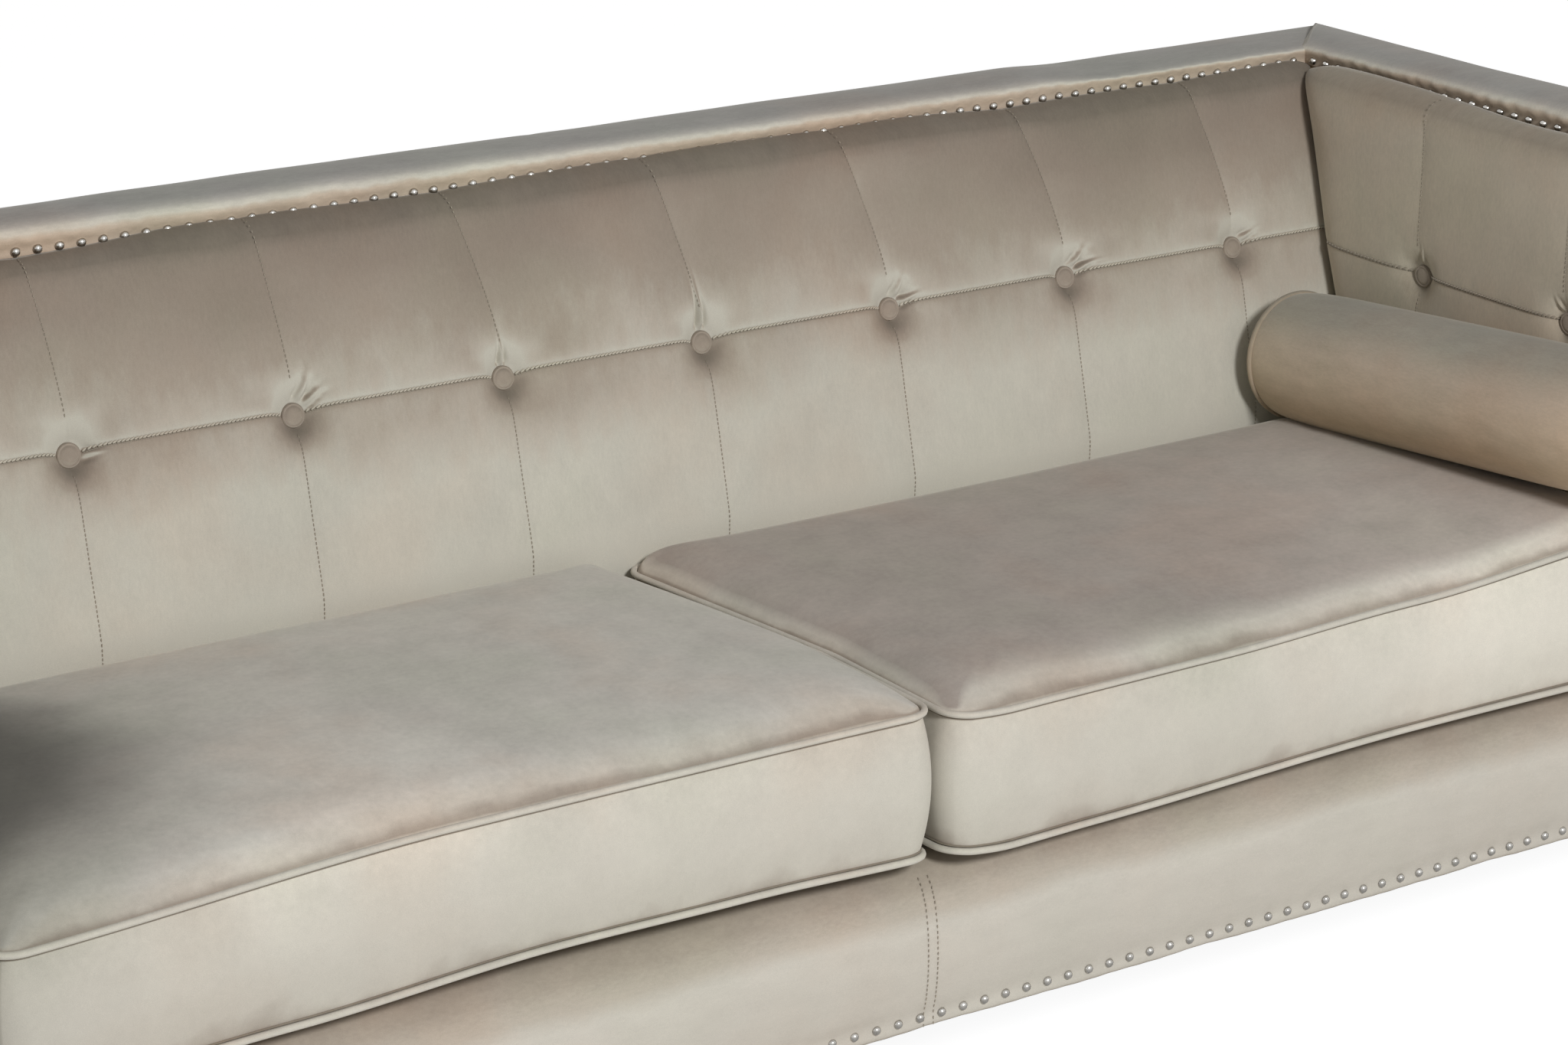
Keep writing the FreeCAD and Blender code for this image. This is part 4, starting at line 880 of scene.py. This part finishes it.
def capping(name, node, start, end, nails, mitred, joined, fall, place):
    """A length of capping. place turns distance along, distance back and level into a point."""

    def spot(along, index):
        back, level = ROLL_SECTION[index]
        inner = 1.0 if back < INNER_FACE else 0.0
        edge = inner * hump(level - NAIL_LEVEL, TUCK_TALL)
        lip = inner * hump(level - BULGE_LEVEL, TUCK_TALL)
        pinch = tuck(along, nails, NAIL_PITCH)
        ripple = ruffle(ROLL_RIPPLE, (along * 9, back * 12, level * 9))
        ripple += ruffle(LIP_RIPPLE, (along * 42, 7.0, level * 20)) * lip
        ripple += ruffle(LIP_CRUMPLE, (along * 85, 3.0, level * 90)) * lip
        if back > HEM_BACK and level < ROLL_CENTRE[1]:
            ripple = 0.0
        for seam in joined:
            ripple -= JOIN_DEPTH * valley(along - seam, JOIN_WIDE)
        back_to = back + TUCK_IN * edge * pinch - TUCK_OUT * lip * (1 - pinch)
        outwards = Vector((back - ROLL_CENTRE[0], level - ROLL_CENTRE[1])).normalized()
        back_to, level = back_to + outwards.x * ripple, level + outwards.y * max(ripple, DEEPEST)
        level -= eased(fall, along) * min(1.0, max(0.0, (level - ROLL_CENTRE[1]) / FALL_TALL))
        for corner in mitred:
            near = max(0.0, 1 - abs(corner - along) / MITRE_STRETCH)
            along += math.copysign(near * back_to, corner)
        return place(along, back_to, level)

    sleeve(name, node, roll_look, steps_between(start, end, NAIL_PITCH / 4), ROLL_SECTION, spot)


back_nails = evenly(-NAIL_LINE_X, NAIL_LINE_X, NAIL_PITCH)
arm_nails = evenly(ARM_FRONT, NAIL_LINE_Y, NAIL_PITCH)
capping(
    "back_capping", "back_roll", -NAIL_LINE_X, NAIL_LINE_X, back_nails, (-NAIL_LINE_X, NAIL_LINE_X), (0.0,),
    BACK_FALL, lambda along, back, level: Vector((along, NAIL_LINE_Y + back, level)),
)
for side, sign in SIDES.items():
    capping(
        f"arm_{side}_capping", f"arm_roll_{side}", ARM_FRONT, NAIL_LINE_Y, arm_nails, (NAIL_LINE_Y,), (),
        ARM_FALL, lambda along, back, level, sign=sign: Vector((sign * (NAIL_LINE_X + back), along, level)),
    )


# Front rail. Velvet over wadding on the front rail, sewn in two widths with a double row of topstitching,
# rolled over the top under the cushions and nailed along its wavy lower hem.
# Colours by tilt: the velvet's tone with painted shade. It is pale where faces look ahead, and browner and
# darker where they look down at the hem or up over the rolled top.
RAIL_TONE_AND_SHADE = [
    (-37, (0.45, 0.405, 0.34)),
    (-12, (0.56, 0.522, 0.455)),
    (12, (0.58, 0.545, 0.478)),
    (27, (0.47, 0.42, 0.352)),
    (53, (0.37, 0.32, 0.262)),
]
# Painted shadow of the cushions' overhang: the rail is painted browner and darker towards its top.
RAIL_SHADOW_DRIFT = [(0.19, 0.245, 0.0, 16.0)]
# The section as (Y, Z), from the hem up the front and over the top, and then back inside.
RAIL_SECTION = [
    (-0.353, 0.1005), (-0.3615, 0.1), (-0.3658, 0.1025), (-0.3665, 0.107), (-0.3662, 0.114), (-0.3668, 0.121),
    (-0.3695, 0.132), (-0.3722, 0.152), (-0.3735, 0.178), (-0.3722, 0.205), (-0.368, 0.229), (-0.3605, 0.247),
    (-0.348, 0.2595), (-0.33, 0.2655), (-0.31, 0.2662), (-0.2965, 0.2655), (-0.2965, 0.259), (-0.328, 0.256),
    (-0.347, 0.244), (-0.3525, 0.222), (-0.3525, 0.12),
]
RAIL_SHOWN, TOPSTITCHED = 15, range(2, 13)
RAIL_END, RAIL_SEAM, RAIL_SEAM_DEPTH, RAIL_SEAM_WIDE = 0.984, 0.01, 0.0022, 0.003
HEM_NAIL_LEVEL, HEM_NAIL_PITCH, HEM_LIP_LEVEL, HEM_LIP_TALL, HEM_LIP_OUT = 0.114, 0.0253, 0.104, 0.004, 0.0011
RAIL_RIPPLE, HEM_WAVE, HEM_LEVEL, HEM_WAVE_TALL = 0.0016, 0.0022, 0.1, 0.006
TOPSTITCH_ASIDE, TOPSTITCH_STEP = 0.0055, 0.0055
rail_look = velvet("front_rail_velvet", RAIL_TONE_AND_SHADE, (1, 1, 2.5), shade_drift=RAIL_SHADOW_DRIFT, calm=CALM)
hem_nails = evenly(-RAIL_END, RAIL_END, HEM_NAIL_PITCH)
rail_steps = steps_between(-RAIL_END, RAIL_END, HEM_NAIL_PITCH / 4)


def rail_spot(x, index):
    """One point of the rail's section, at a place along the rail."""
    y, z = RAIL_SECTION[index]
    pinch = tuck(x, hem_nails, HEM_NAIL_PITCH)
    if index < RAIL_SHOWN:
        y += TUCK_IN * pinch * hump(z - HEM_NAIL_LEVEL, TUCK_TALL)
        y -= HEM_LIP_OUT * (1 - pinch) * hump(z - HEM_LIP_LEVEL, HEM_LIP_TALL)
        y += ruffle(RAIL_RIPPLE, (x * 5, 2.0, z * 9))
        y += RAIL_SEAM_DEPTH * valley(x - RAIL_SEAM, RAIL_SEAM_WIDE)
        z += ruffle(HEM_WAVE, (x * 13, 5.0, 0)) * math.exp(-((z - HEM_LEVEL) / HEM_WAVE_TALL))
    return Vector((x, y, z))


sleeve("front_rail_padded", "front_rail_cover", rail_look, rail_steps, RAIL_SECTION, rail_spot)
stitches = bmesh.new()
for x in (RAIL_SEAM - TOPSTITCH_ASIDE, RAIL_SEAM + TOPSTITCH_ASIDE):
    line = [rail_spot(x, index) for index in TOPSTITCHED]
    route = []
    for here, there in zip(line, line[1:]):
        count = max(1, round((there - here).length / TOPSTITCH_STEP))
        route += [(here.lerp(there, step / count),) for step in range(count)]
    copied(stitches, capsule(UPRIGHT_STITCH), sewn(lambda point: (point, ahead), route, UPRIGHT_LIFT))
piece("front_rail_stitches", stitches, dark_thread_and_shadow, "frame", "velvet")


# Dome nails. Nickel-plated heads, pressed from sheet, on pins that are driven into the rails in even
# rows under the capping and along the foot of the front.
NAIL_TONES = [(0.3, (0.4, 0.385, 0.36)), (0.7, (0.56, 0.545, 0.515))]
NOISE_SPAN = 0.3, 0.7
nail_look, shader, net = surface("nickel", 0.24, 0.5, 1.0)
tarnish = net.place().speckle(160.0, 4.0)
tarnish.ramp(NAIL_TONES).feeds(shader, "Base Color")
tarnish.spread(*NOISE_SPAN, 0.16, 0.3).feeds(shader, "Roughness")
NAIL, NAIL_STEPS = [(0, 0.0042), (0.0024, 0.0037), (0.0041, 0.0021), (0.00475, 0.0002)], 12
NAIL_PROUD, HEM_NAIL_Y = 0.0008, -0.3662
FACING_Y, FACING_PROUD, FACING_IN, FACING_OUT, FACING_EDGE = -0.370, 0.0005, 0.984, 1.095, 0.006
facing_nails = evenly(FACING_IN + FACING_EDGE, FACING_OUT - FACING_EDGE, HEM_NAIL_PITCH)
top_places = [(Vector((x, NAIL_LINE_Y - NAIL_PROUD, NAIL_LEVEL)), ahead, up) for x in back_nails]
hem_places = [(Vector((x, HEM_NAIL_Y, HEM_NAIL_LEVEL)), ahead, up) for x in hem_nails]
for sign in SIDES.values():
    way, inner, front = Vector((-sign, 0, 0)), sign * NAIL_LINE_X, FACING_Y - FACING_PROUD
    top_places += [(Vector((inner, y, NAIL_LEVEL)) + way * NAIL_PROUD, way, up) for y in arm_nails]
    hem_places += [(Vector((sign * x, front, HEM_NAIL_LEVEL)), ahead, up) for x in facing_nails]
for node, places in (("capping_nails", top_places), ("front_nails", hem_places)):
    heads = bmesh.new()
    copied(heads, lathe(NAIL, NAIL_STEPS), places)
    piece(f"{node}_domed", heads, nail_look, "frame", "nail_metal", node)


# Arm facings. A shaped board under wadding and velvet that closes the front of each arm, higher at its
# inner side, with the velvet drawn round its edges.
# The rail's colours by tilt, with their painted shade.
facing_look = velvet("facing_velvet", RAIL_TONE_AND_SHADE, (1, 1, 2.5), calm=CALM)
FACING_CUTS, FACING_SHOULDER, OUTER_FALL, FACING_ROUND, FACING_RIPPLE = (13, 3, 63), 0.024, 0.3, 0.004, 0.0015
for side, sign in SIDES.items():
    low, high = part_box(f"arm_front_panel_{side}")
    half, tall = (high.x - low.x) / 2, high.z - low.z
    shape = lattice(FACING_CUTS)
    for vert in shape.verts:
        a, b, c = vert.co
        aside, share = crowded(a), (crowded(c) + 1) / 2
        shoulder = abs(aside) ** 5
        fall = FACING_SHOULDER * (shoulder + OUTER_FALL * max(0.0, aside) ** 2 * (1 - shoulder))
        z = low.z + (tall - fall) * share
        edge = min(1 - abs(aside), 2 * share * tall / half, 2 * (1 - share) * tall / half) * half
        y = low.y + FACING_ROUND * (1 - climb(edge, FACING_ROUND)) if b < 0 else high.y
        if abs(b) < FLUSH:
            y = low.y + FACING_ROUND + (high.y - low.y - FACING_ROUND) * (b + 1) / 2
        ripple = ruffle(FACING_RIPPLE, (aside * 2, z * 7, 4.0 + sign)) if b < -FLUSH else 0.0
        vert.co = Vector(((low.x + high.x) / 2 + sign * aside * half, y + ripple, z))
    smoothed(shape)
    panel = piece(f"arm_facing_{side}", shape, facing_look, "frame", "velvet", f"arm_front_panel_{side}")


# Outside back and arms. Velvet drawn flat over a thin sheet of wadding from the capping down to the
# foot of the base, its edges turned under and stapled.
# The rail's colours by tilt, with their painted shade.
outside_look = velvet("outside_velvet", RAIL_TONE_AND_SHADE, (1, 1, 2.5))
OUTSIDE_CROWD, OUTSIDE_SWELL, OUTSIDE_SUNK, OUTSIDE_RISE, OUTSIDE_DENT = 0.5, 0.0025, 0.0015, 0.02, 0.0012
# Each cover has the cuts of its lattice and the axis that it is flat along.
outside = {"outside_back_cover": ((95, 1, 31), 1)}
outside.update({f"outside_arm_cover_{side}": ((1, 31, 31), 0) for side in SIDES})
for node, (cuts, flat) in outside.items():
    low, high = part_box(node)
    middle, half = (low + high) / 2, (high - low) / 2
    outer = 1 if middle[flat] > 0 else -1
    shape = lattice(cuts)
    for vert in shape.verts:
        shares = [crowded(along, OUTSIDE_CROWD) for along in vert.co]
        spot = Vector([middle[axis] + shares[axis] * half[axis] for axis in range(3)])
        if vert.co[flat] * outer > 0.5:
            edges = [half[axis] * (1 - abs(shares[axis])) for axis in range(3) if axis != flat]
            swell = OUTSIDE_SWELL * climb(edges[0], OUTSIDE_RISE) * climb(edges[1], OUTSIDE_RISE)
            spot[flat] += outer * (swell - OUTSIDE_SUNK + ruffle(OUTSIDE_DENT, spot * 4))
        vert.co = spot
    smoothed(shape)
    piece(f"{node}_drawn", shape, outside_look, "frame", "velvet", node)


# Seat deck. A quilted pad of bonded grey fibre that lies over the webbing, under the loose cushions,
# and is sewn through in channels from front to back.
DECK_TONES = [(0.35, (0.1, 0.1, 0.1)), (0.5, (0.19, 0.185, 0.18)), (0.65, (0.3, 0.29, 0.28))]
deck_look, shader, net = surface("deck_felt", 0.95, 0.1)
fibre, fleck = net.place((1, 4, 1)).speckle(180.0, 6.0), net.place().speckle(700.0, 3.0)
(fibre * 0.6 + fleck * 0.4).ramp(DECK_TONES).feeds(shader, "Base Color")
(fibre + fleck * 0.5).bump(0.6, 0.001).feeds(shader, "Normal")
DECK_CUTS, DECK_FALL, DECK_EDGE = (123, 31, 3), 0.008, 0.012
CHANNEL_PITCH, CHANNEL_DEPTH, CHANNEL_WIDE = 0.16, 0.005, 0.012
low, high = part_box("deck_pad")
middle, half = (low + high) / 2, (high - low) / 2
shape = lattice(DECK_CUTS)
for vert in shape.verts:
    a, b, c = vert.co
    x, y = middle.x + a * half.x, middle.y + b * half.y
    edge = min(half.x * (1 - abs(a)), half.y * (1 - abs(b)))
    channel = valley((x + CHANNEL_PITCH / 2) % CHANNEL_PITCH - CHANNEL_PITCH / 2, CHANNEL_WIDE)
    top = high.z - DECK_FALL * (1 - climb(edge, DECK_EDGE)) - CHANNEL_DEPTH * channel
    vert.co = Vector((x, y, low.z + (top - low.z) * (c + 1) / 2))
smoothed(shape)
piece("deck_quilted", shape, deck_look, "frame", "deck_felt", "deck_pad")


# Webbing. Woven elastic straps, stretched and stapled from front to back across the seat, level across
# the back and upright in the arms.
WEAVE_TONES = [(0.2, (0.03, 0.03, 0.032)), (0.55, (0.12, 0.115, 0.11)), (0.85, (0.3, 0.2, 0.12))]
strap_look, shader, net = surface("webbing", 0.8, 0.2)
weave = net.node("ShaderNodeTexChecker", "Fac", {"Vector": net.place(), "Scale": 420.0})
wear = net.place().speckle(60.0, 4.0)
(weave * 0.5 + wear * 0.5).ramp(WEAVE_TONES).feeds(shader, "Base Color")
weave.bump(0.5, 0.0008).feeds(shader, "Normal")
STRAP_WIDE, STRAP_THICK, STRAP_LIFT = 0.06, 0.0018, 0.001
SEAT_STRAP_PITCH, BACK_STRAP_PITCH, ARM_STRAP_PITCH = 0.16, 0.115, 0.19


def strap(bm, start, end, wide):
    """Add a flat strap from one point to another, as wide as a vector says."""
    grid = bmesh.ops.create_grid(bm, x_segments=24, y_segments=4, size=1)["verts"]
    for vert in grid:
        vert.co = start.lerp(end, (vert.co.x + 1) / 2) + wide * (vert.co.y / 2)
    faces = list({facet for vert in grid for facet in vert.link_faces})
    bmesh.ops.solidify(bm, geom=faces, thickness=STRAP_THICK)


def strap_rows(low, high, pitch):
    """The middles of a row of straps that fills a width, about a pitch apart."""
    span = high - low - STRAP_WIDE
    count = round(span / pitch) + 1
    return [low + STRAP_WIDE / 2 + index * span / max(1, count - 1) for index in range(count)]


straps = bmesh.new()
low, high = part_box("seat_webbing")
level = low.z + STRAP_LIFT
for x in strap_rows(low.x, high.x, SEAT_STRAP_PITCH):
    strap(straps, Vector((x, low.y, level)), Vector((x, high.y, level)), Vector((STRAP_WIDE, 0, 0)))
piece("seat_straps", straps, strap_look, "frame", "webbing", "seat_webbing")
straps = bmesh.new()
low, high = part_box("back_webbing")
rake = high - low
rake.x = 0
lean = rake.normalized()
for t in strap_rows(0.0, rake.length, BACK_STRAP_PITCH):
    row = Vector((0, low.y, low.z)) + lean * t
    strap(straps, row + Vector((low.x, 0, 0)), row + Vector((high.x, 0, 0)), lean * STRAP_WIDE)
piece("back_straps", straps, strap_look, "frame", "webbing", "back_webbing")
straps = bmesh.new()
low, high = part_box("arm_webbing")
for y in strap_rows(low.y, high.y, ARM_STRAP_PITCH):
    for x in (low.x + STRAP_LIFT, high.x - STRAP_LIFT):
        strap(straps, Vector((x, y, low.z)), Vector((x, y, high.z)), Vector((0, STRAP_WIDE, 0)))
piece("arm_straps", straps, strap_look, "frame", "webbing", "arm_webbing")


# Dust cloth. A sheet of black spun-bonded cloth, cut to the outline of the base, drawn flat and stapled
# to the underside of the base rails.
CLOTH_TONES = [(0.3, (0.015, 0.015, 0.016)), (0.7, (0.05, 0.05, 0.052))]
cloth_look, shader, net = surface("dust_cloth", 0.9, 0.1)
net.place().speckle(900.0, 4.0).ramp(CLOTH_TONES).feeds(shader, "Base Color")
dimples = net.node("ShaderNodeTexVoronoi", "Distance", {"Vector": net.place(), "Scale": 450.0})
dimples.bump(0.4, 0.0005).feeds(shader, "Normal")
CLOTH_THICK, CLOTH_GAP, CLOTH_RIPPLE = 0.0006, 0.02, 0.0004
low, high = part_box("dust_cloth")
cloth_x, cloth_y = steps_between(low.x, high.x, CLOTH_GAP), steps_between(low.y, high.y, CLOTH_GAP)


def cloth_spot(i, j):
    """A point of the cloth, a little slack between its staples."""
    x, y = cloth_x[i], cloth_y[j]
    return Vector((x, y, high.z - CLOTH_THICK + ruffle(CLOTH_RIPPLE, (x * 9, y * 9, 1.0))))


shape = draped(len(cloth_x), len(cloth_y), cloth_spot)
bmesh.ops.solidify(shape, geom=list(shape.faces), thickness=CLOTH_THICK)
cloth = piece("dust_cloth_stretched", shape, cloth_look, "frame", "dust_cloth", "dust_cloth")


# Timber frame. Planed softwood boards, glued and screwed, with the grain along each board. These are the
# CAD pieces themselves, with their edges eased.
GRAIN_SQUEEZE, GLOSS_SPAN = 16.0, 0.08


def timber(name, tones, along, roughness):
    """Wood whose grain runs along one axis."""
    material, shader, net = surface(name, roughness, 0.3)
    squeeze = [GRAIN_SQUEEZE] * 3
    squeeze[along] = 1.0
    board = net.place(squeeze)
    rings, pores = board.speckle(3.0, 5.0), board.speckle(26.0, 3.0)
    (rings * 0.75 + pores * 0.25).ramp(tones).feeds(shader, "Base Color")
    pores.spread(*NOISE_SPAN, roughness - GLOSS_SPAN, roughness + GLOSS_SPAN).feeds(shader, "Roughness")
    pores.bump(0.25, 0.0006).feeds(shader, "Normal")
    return material


def finished(node, look, width):
    """Give a CAD piece its material, and edges eased over a width."""
    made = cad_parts[node]
    made.data.materials.clear()
    made.data.materials.append(look)
    bevel = made.modifiers.new("eased", "BEVEL")
    bevel.width, bevel.segments, bevel.limit_method = width, 2, "ANGLE"


PINE, BOARD_EASE = [(0.3, (0.42, 0.27, 0.14)), (0.5, (0.6, 0.43, 0.25)), (0.7, (0.7, 0.54, 0.34))], 0.0015
side_rails, posts = ("arm_top_rail", "base_side_rail", "arm_tack_rail"), ("front_post", "rear_post")
boards = {
    0: ["base_front_rail", "base_back_rail", "back_top_rail", "back_tack_rail"],
    1: ["centre_stretcher", *(f"{rail}_{side}" for rail in side_rails for side in SIDES)],
    2: ["back_ribs", "corner_blocks", *(f"{post}_{side}" for post in posts for side in SIDES)],
}
for along, nodes in boards.items():
    look = timber(f"pine_{'xyz'[along]}", PINE, along, 0.6)
    for node in nodes:
        finished(node, look, BOARD_EASE)


# Legs. Tapered blocks of dark stained beech, each on a steel plate screwed to the base, with a pad of
# felt glued under its foot.
BEECH = [(0.3, (0.018, 0.01, 0.006)), (0.5, (0.045, 0.024, 0.013)), (0.7, (0.075, 0.042, 0.023))]
STEEL_TONES = [(0.3, (0.4, 0.4, 0.41)), (0.7, (0.62, 0.62, 0.62))]
FELT_TONES = [(0.3, (0.08, 0.065, 0.05)), (0.7, (0.2, 0.17, 0.14))]
LEG_EASE, PLATE_EASE, FELT_EASE = 0.002, 0.0006, 0.001
leg_look = timber("stained_beech", BEECH, 2, 0.35)
for row in ("front", "rear"):
    for post in ("right", "left", "middle"):
        finished(f"leg_{row}_{post}", leg_look, LEG_EASE)
plate_look, shader, net = surface("plate_steel", 0.4, 0.5, 1.0)
brushed = net.place((1, 20, 1)).speckle(90.0, 4.0)
brushed.ramp(STEEL_TONES).feeds(shader, "Base Color")
brushed.spread(*NOISE_SPAN, 0.3, 0.5).feeds(shader, "Roughness")
finished("leg_plates", plate_look, PLATE_EASE)
felt_look, shader, net = surface("felt", 0.95, 0.1)
fibre = net.place().speckle(1200.0, 5.0)
fibre.ramp(FELT_TONES).feeds(shader, "Base Color")
fibre.bump(0.6, 0.0006).feeds(shader, "Normal")
finished("felt_pads", felt_look, FELT_EASE)


# Camera, at the place that the photograph was taken from, with a long lens.
CAMERA_PLACE, CAMERA_DIP, CAMERA_TURN, CAMERA_LENS = (-1.9944, -3.1937, 1.7885), 18.74, -33.04, 91.32
camera = placed("camera", bpy.data.cameras.new("camera"))
camera.location = CAMERA_PLACE
camera.rotation_euler = (math.radians(90 - CAMERA_DIP), 0, math.radians(CAMERA_TURN))
camera.data.sensor_width, camera.data.lens = 36, CAMERA_LENS
scene.camera = camera


# Studio: a pale floor, one soft lamp in front and a white surround that fills the shadows.
FLOOR_HALF, FLOOR_GLOW, FLOOR_SHARE, FILL_LIGHT = 30, 1.24, 0.75, 0.28
LAMP_AIM, LAMP_WAY, LAMP_FAR = Vector((0.2, 0, 0.5)), Vector((-0.12, -0.857, 0.5)).normalized(), 5
LAMP_WIDE, LAMP_POWER = 0.9, 153
floor_shape = bmesh.new()
bmesh.ops.create_grid(floor_shape, x_segments=1, y_segments=1, size=FLOOR_HALF)
floor = placed("floor", mesh_of("floor", floor_shape))
floor_look, shader, net = surface("floor", 0.9, 0.1)
shader.inputs["Base Color"].default_value = (0.85, 0.85, 0.85, 1)
seen = net.node("ShaderNodeLightPath", "Is Camera Ray")
glow = net.node("ShaderNodeEmission", 0, {"Color": (1, 1, 1, 1), "Strength": FLOOR_GLOW})
lit = Net(net.tree, shader.outputs[0])
mixed = net.node("ShaderNodeMixShader", 0, {0: seen * FLOOR_SHARE, 1: lit, 2: glow})
mixed.feeds(net.tree.nodes["Material Output"], "Surface")
floor.data.materials.append(floor_look)

world = bpy.data.worlds.new("studio")
scene.world = world
world.use_nodes = True
net = Net(world.node_tree)
seen, glossy, through = (
    net.node("ShaderNodeLightPath", f"Is {kind} Ray") for kind in ("Camera", "Glossy", "Transmission")
)
direct = net.math("MAXIMUM", seen, net.math("MAXIMUM", glossy, through))
sky = world.node_tree.nodes["Background"]
sky.inputs["Color"].default_value = (1, 1, 1, 1)
(direct + (1 - direct) * FILL_LIGHT).feeds(sky, "Strength")

lamp_data = bpy.data.lights.new("key", "AREA")
lamp_data.shape, lamp_data.size, lamp_data.energy = "DISK", LAMP_WIDE, LAMP_POWER
lamp = placed("key", lamp_data)
lamp.location = LAMP_AIM + LAMP_WAY * LAMP_FAR
lamp.rotation_euler = LAMP_WAY.to_track_quat("Z", "Y").to_euler()
